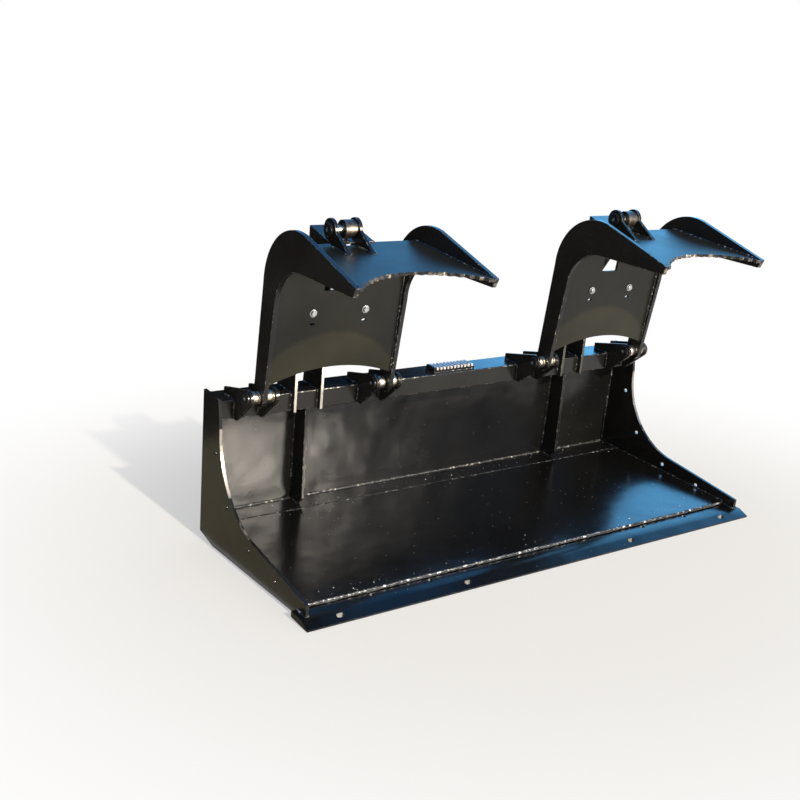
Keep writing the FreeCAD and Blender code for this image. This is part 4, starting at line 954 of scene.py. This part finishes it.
power = addNode(
    tree, "ShaderNodeMath", {"operation": "MULTIPLY", 1: studio["skyLevel"]}, {0: ending.outputs[0]}
)
sky = addNode(
    tree, "ShaderNodeBackground", links={"Color": tone.outputs[2], "Strength": power.outputs[0]}
)
mirrored = addNode(
    tree, "ShaderNodeMixShader", links={0: height.outputs[0], 1: whiteBand.outputs[0], 2: sky.outputs[0]}
)
room = addNode(
    tree, "ShaderNodeBackground", {"Color": linear(studio["room"]), "Strength": studio["roomLevel"]}
)
rays = addNode(tree, "ShaderNodeLightPath")
lit = addNode(
    tree, "ShaderNodeMixShader",
    links={0: rays.outputs["Is Glossy Ray"], 1: room.outputs[0], 2: mirrored.outputs[0]},
)
clear = addNode(
    tree, "ShaderNodeMath", {"operation": "MAXIMUM"},
    {0: rays.outputs["Is Camera Ray"], 1: rays.outputs["Is Transmission Ray"]},
)
picked = addNode(
    tree, "ShaderNodeMixShader", links={0: clear.outputs[0], 1: lit.outputs[0], 2: whiteBand.outputs[0]}
)
addNode(tree, "ShaderNodeOutputWorld", links={"Surface": picked.outputs[0]})

# A sun from the front, which passes under the claws' decks, and a low warm softbox that
# shows only in gloss, as the glow at the left of the back plate.
lamps = {
    "frontSun": {
        "kind": "SUN", "at": (0.12, -3.38, 2.14), "to": (0, 0, 0), "softDegrees": 1.5, "power": 2.6,
        "colour": "#fff5e6", "onlyGloss": False,
    },
    "frontGlow": {
        "kind": "AREA", "at": (1.1, -3.61, 1.42), "to": (-0.75, 0.33, 0.28), "size": (0.86, 0.62),
        "power": 375, "colour": "#fef3e4", "onlyGloss": True,
    },
}
for name, lamp in lamps.items():
    light = bpy.data.lights.new(name, lamp["kind"])
    if lamp["kind"] == "SUN":
        light.angle = math.radians(lamp["softDegrees"])
    else:
        light.shape = "RECTANGLE"
        light.size, light.size_y = lamp["size"]
    light.energy = lamp["power"]
    light.color = linear(lamp["colour"])[:3]
    thing = bpy.data.objects.new(name, light)
    bpy.context.scene.collection.objects.link(thing)
    aim = Vector(lamp["to"]) - Vector(lamp["at"])
    thing.location = lamp["at"]
    thing.rotation_euler = aim.to_track_quat("-Z", "Y").to_euler()
    thing.visible_diffuse = not lamp["onlyGloss"]

# Cards that only reflections see keep the enamel dark: two black ones stand behind, and a
# drab one lies on the floor at the left.
cards = {
    "cardBehindLeft": {"at": (-2.1, 1.75, 1.1), "size": (2.2, 0, 2.2), "shade": "#0d0d0d"},
    "cardBehind": {"at": (-0.45, 1.3, 0.66), "size": (2.5, 0, 1.32), "shade": "#0d0d0d"},
    "cardLeft": {"at": (-1.8, 0.3, 0.002), "size": (1.74, 2.6, 0), "shade": "#a39d83"},
}
for name, card in cards.items():
    paper = bpy.data.materials.new(name)
    paper.use_nodes = True
    tree = paper.node_tree
    tree.nodes.clear()
    matte = addNode(tree, "ShaderNodeBsdfDiffuse", {"Color": linear(card["shade"])})
    addNode(tree, "ShaderNodeOutputMaterial", links={"Surface": matte.outputs[0]})
    wide, deep, high = [length / 2 for length in card["size"]]
    corners = [(-wide, -deep, -high), (wide, -deep, -high), (wide, deep, high), (-wide, deep, high)]
    cardMesh = bpy.data.meshes.new(name)
    cardMesh.from_pydata(corners, [], [(0, 1, 2, 3)])
    cardMesh.materials.append(paper)
    thing = bpy.data.objects.new(name, cardMesh)
    thing.location = card["at"]
    bpy.context.scene.collection.objects.link(thing)
    thing.visible_camera = thing.visible_diffuse = thing.visible_transmission = thing.visible_shadow = False

# The photograph's view, for a square picture.
view = {
    "at": (-2.32070, -2.82528, 1.47066), "lens": 49.49, "sensor": 36.0,
    "right": (0.82966415, -0.55639368, 0.04598266),
    "down": (-0.11478741, -0.25060461, -0.96121878),
    "forward": (0.54636786, 0.79220563, -0.27178418),
}
cameraData = bpy.data.cameras.new("viewCamera")
cameraData.lens = view["lens"]
cameraData.sensor_width = view["sensor"]
camera = bpy.data.objects.new("viewCamera", cameraData)
bpy.context.scene.collection.objects.link(camera)
axes = Matrix((view["right"], [-v for v in view["down"]], [-v for v in view["forward"]])).transposed()
camera.matrix_world = Matrix.Translation(view["at"]) @ axes.to_4x4()
bpy.context.scene.camera = camera
bpy.context.scene.view_settings.view_transform = "Standard"
print("studio and camera set")
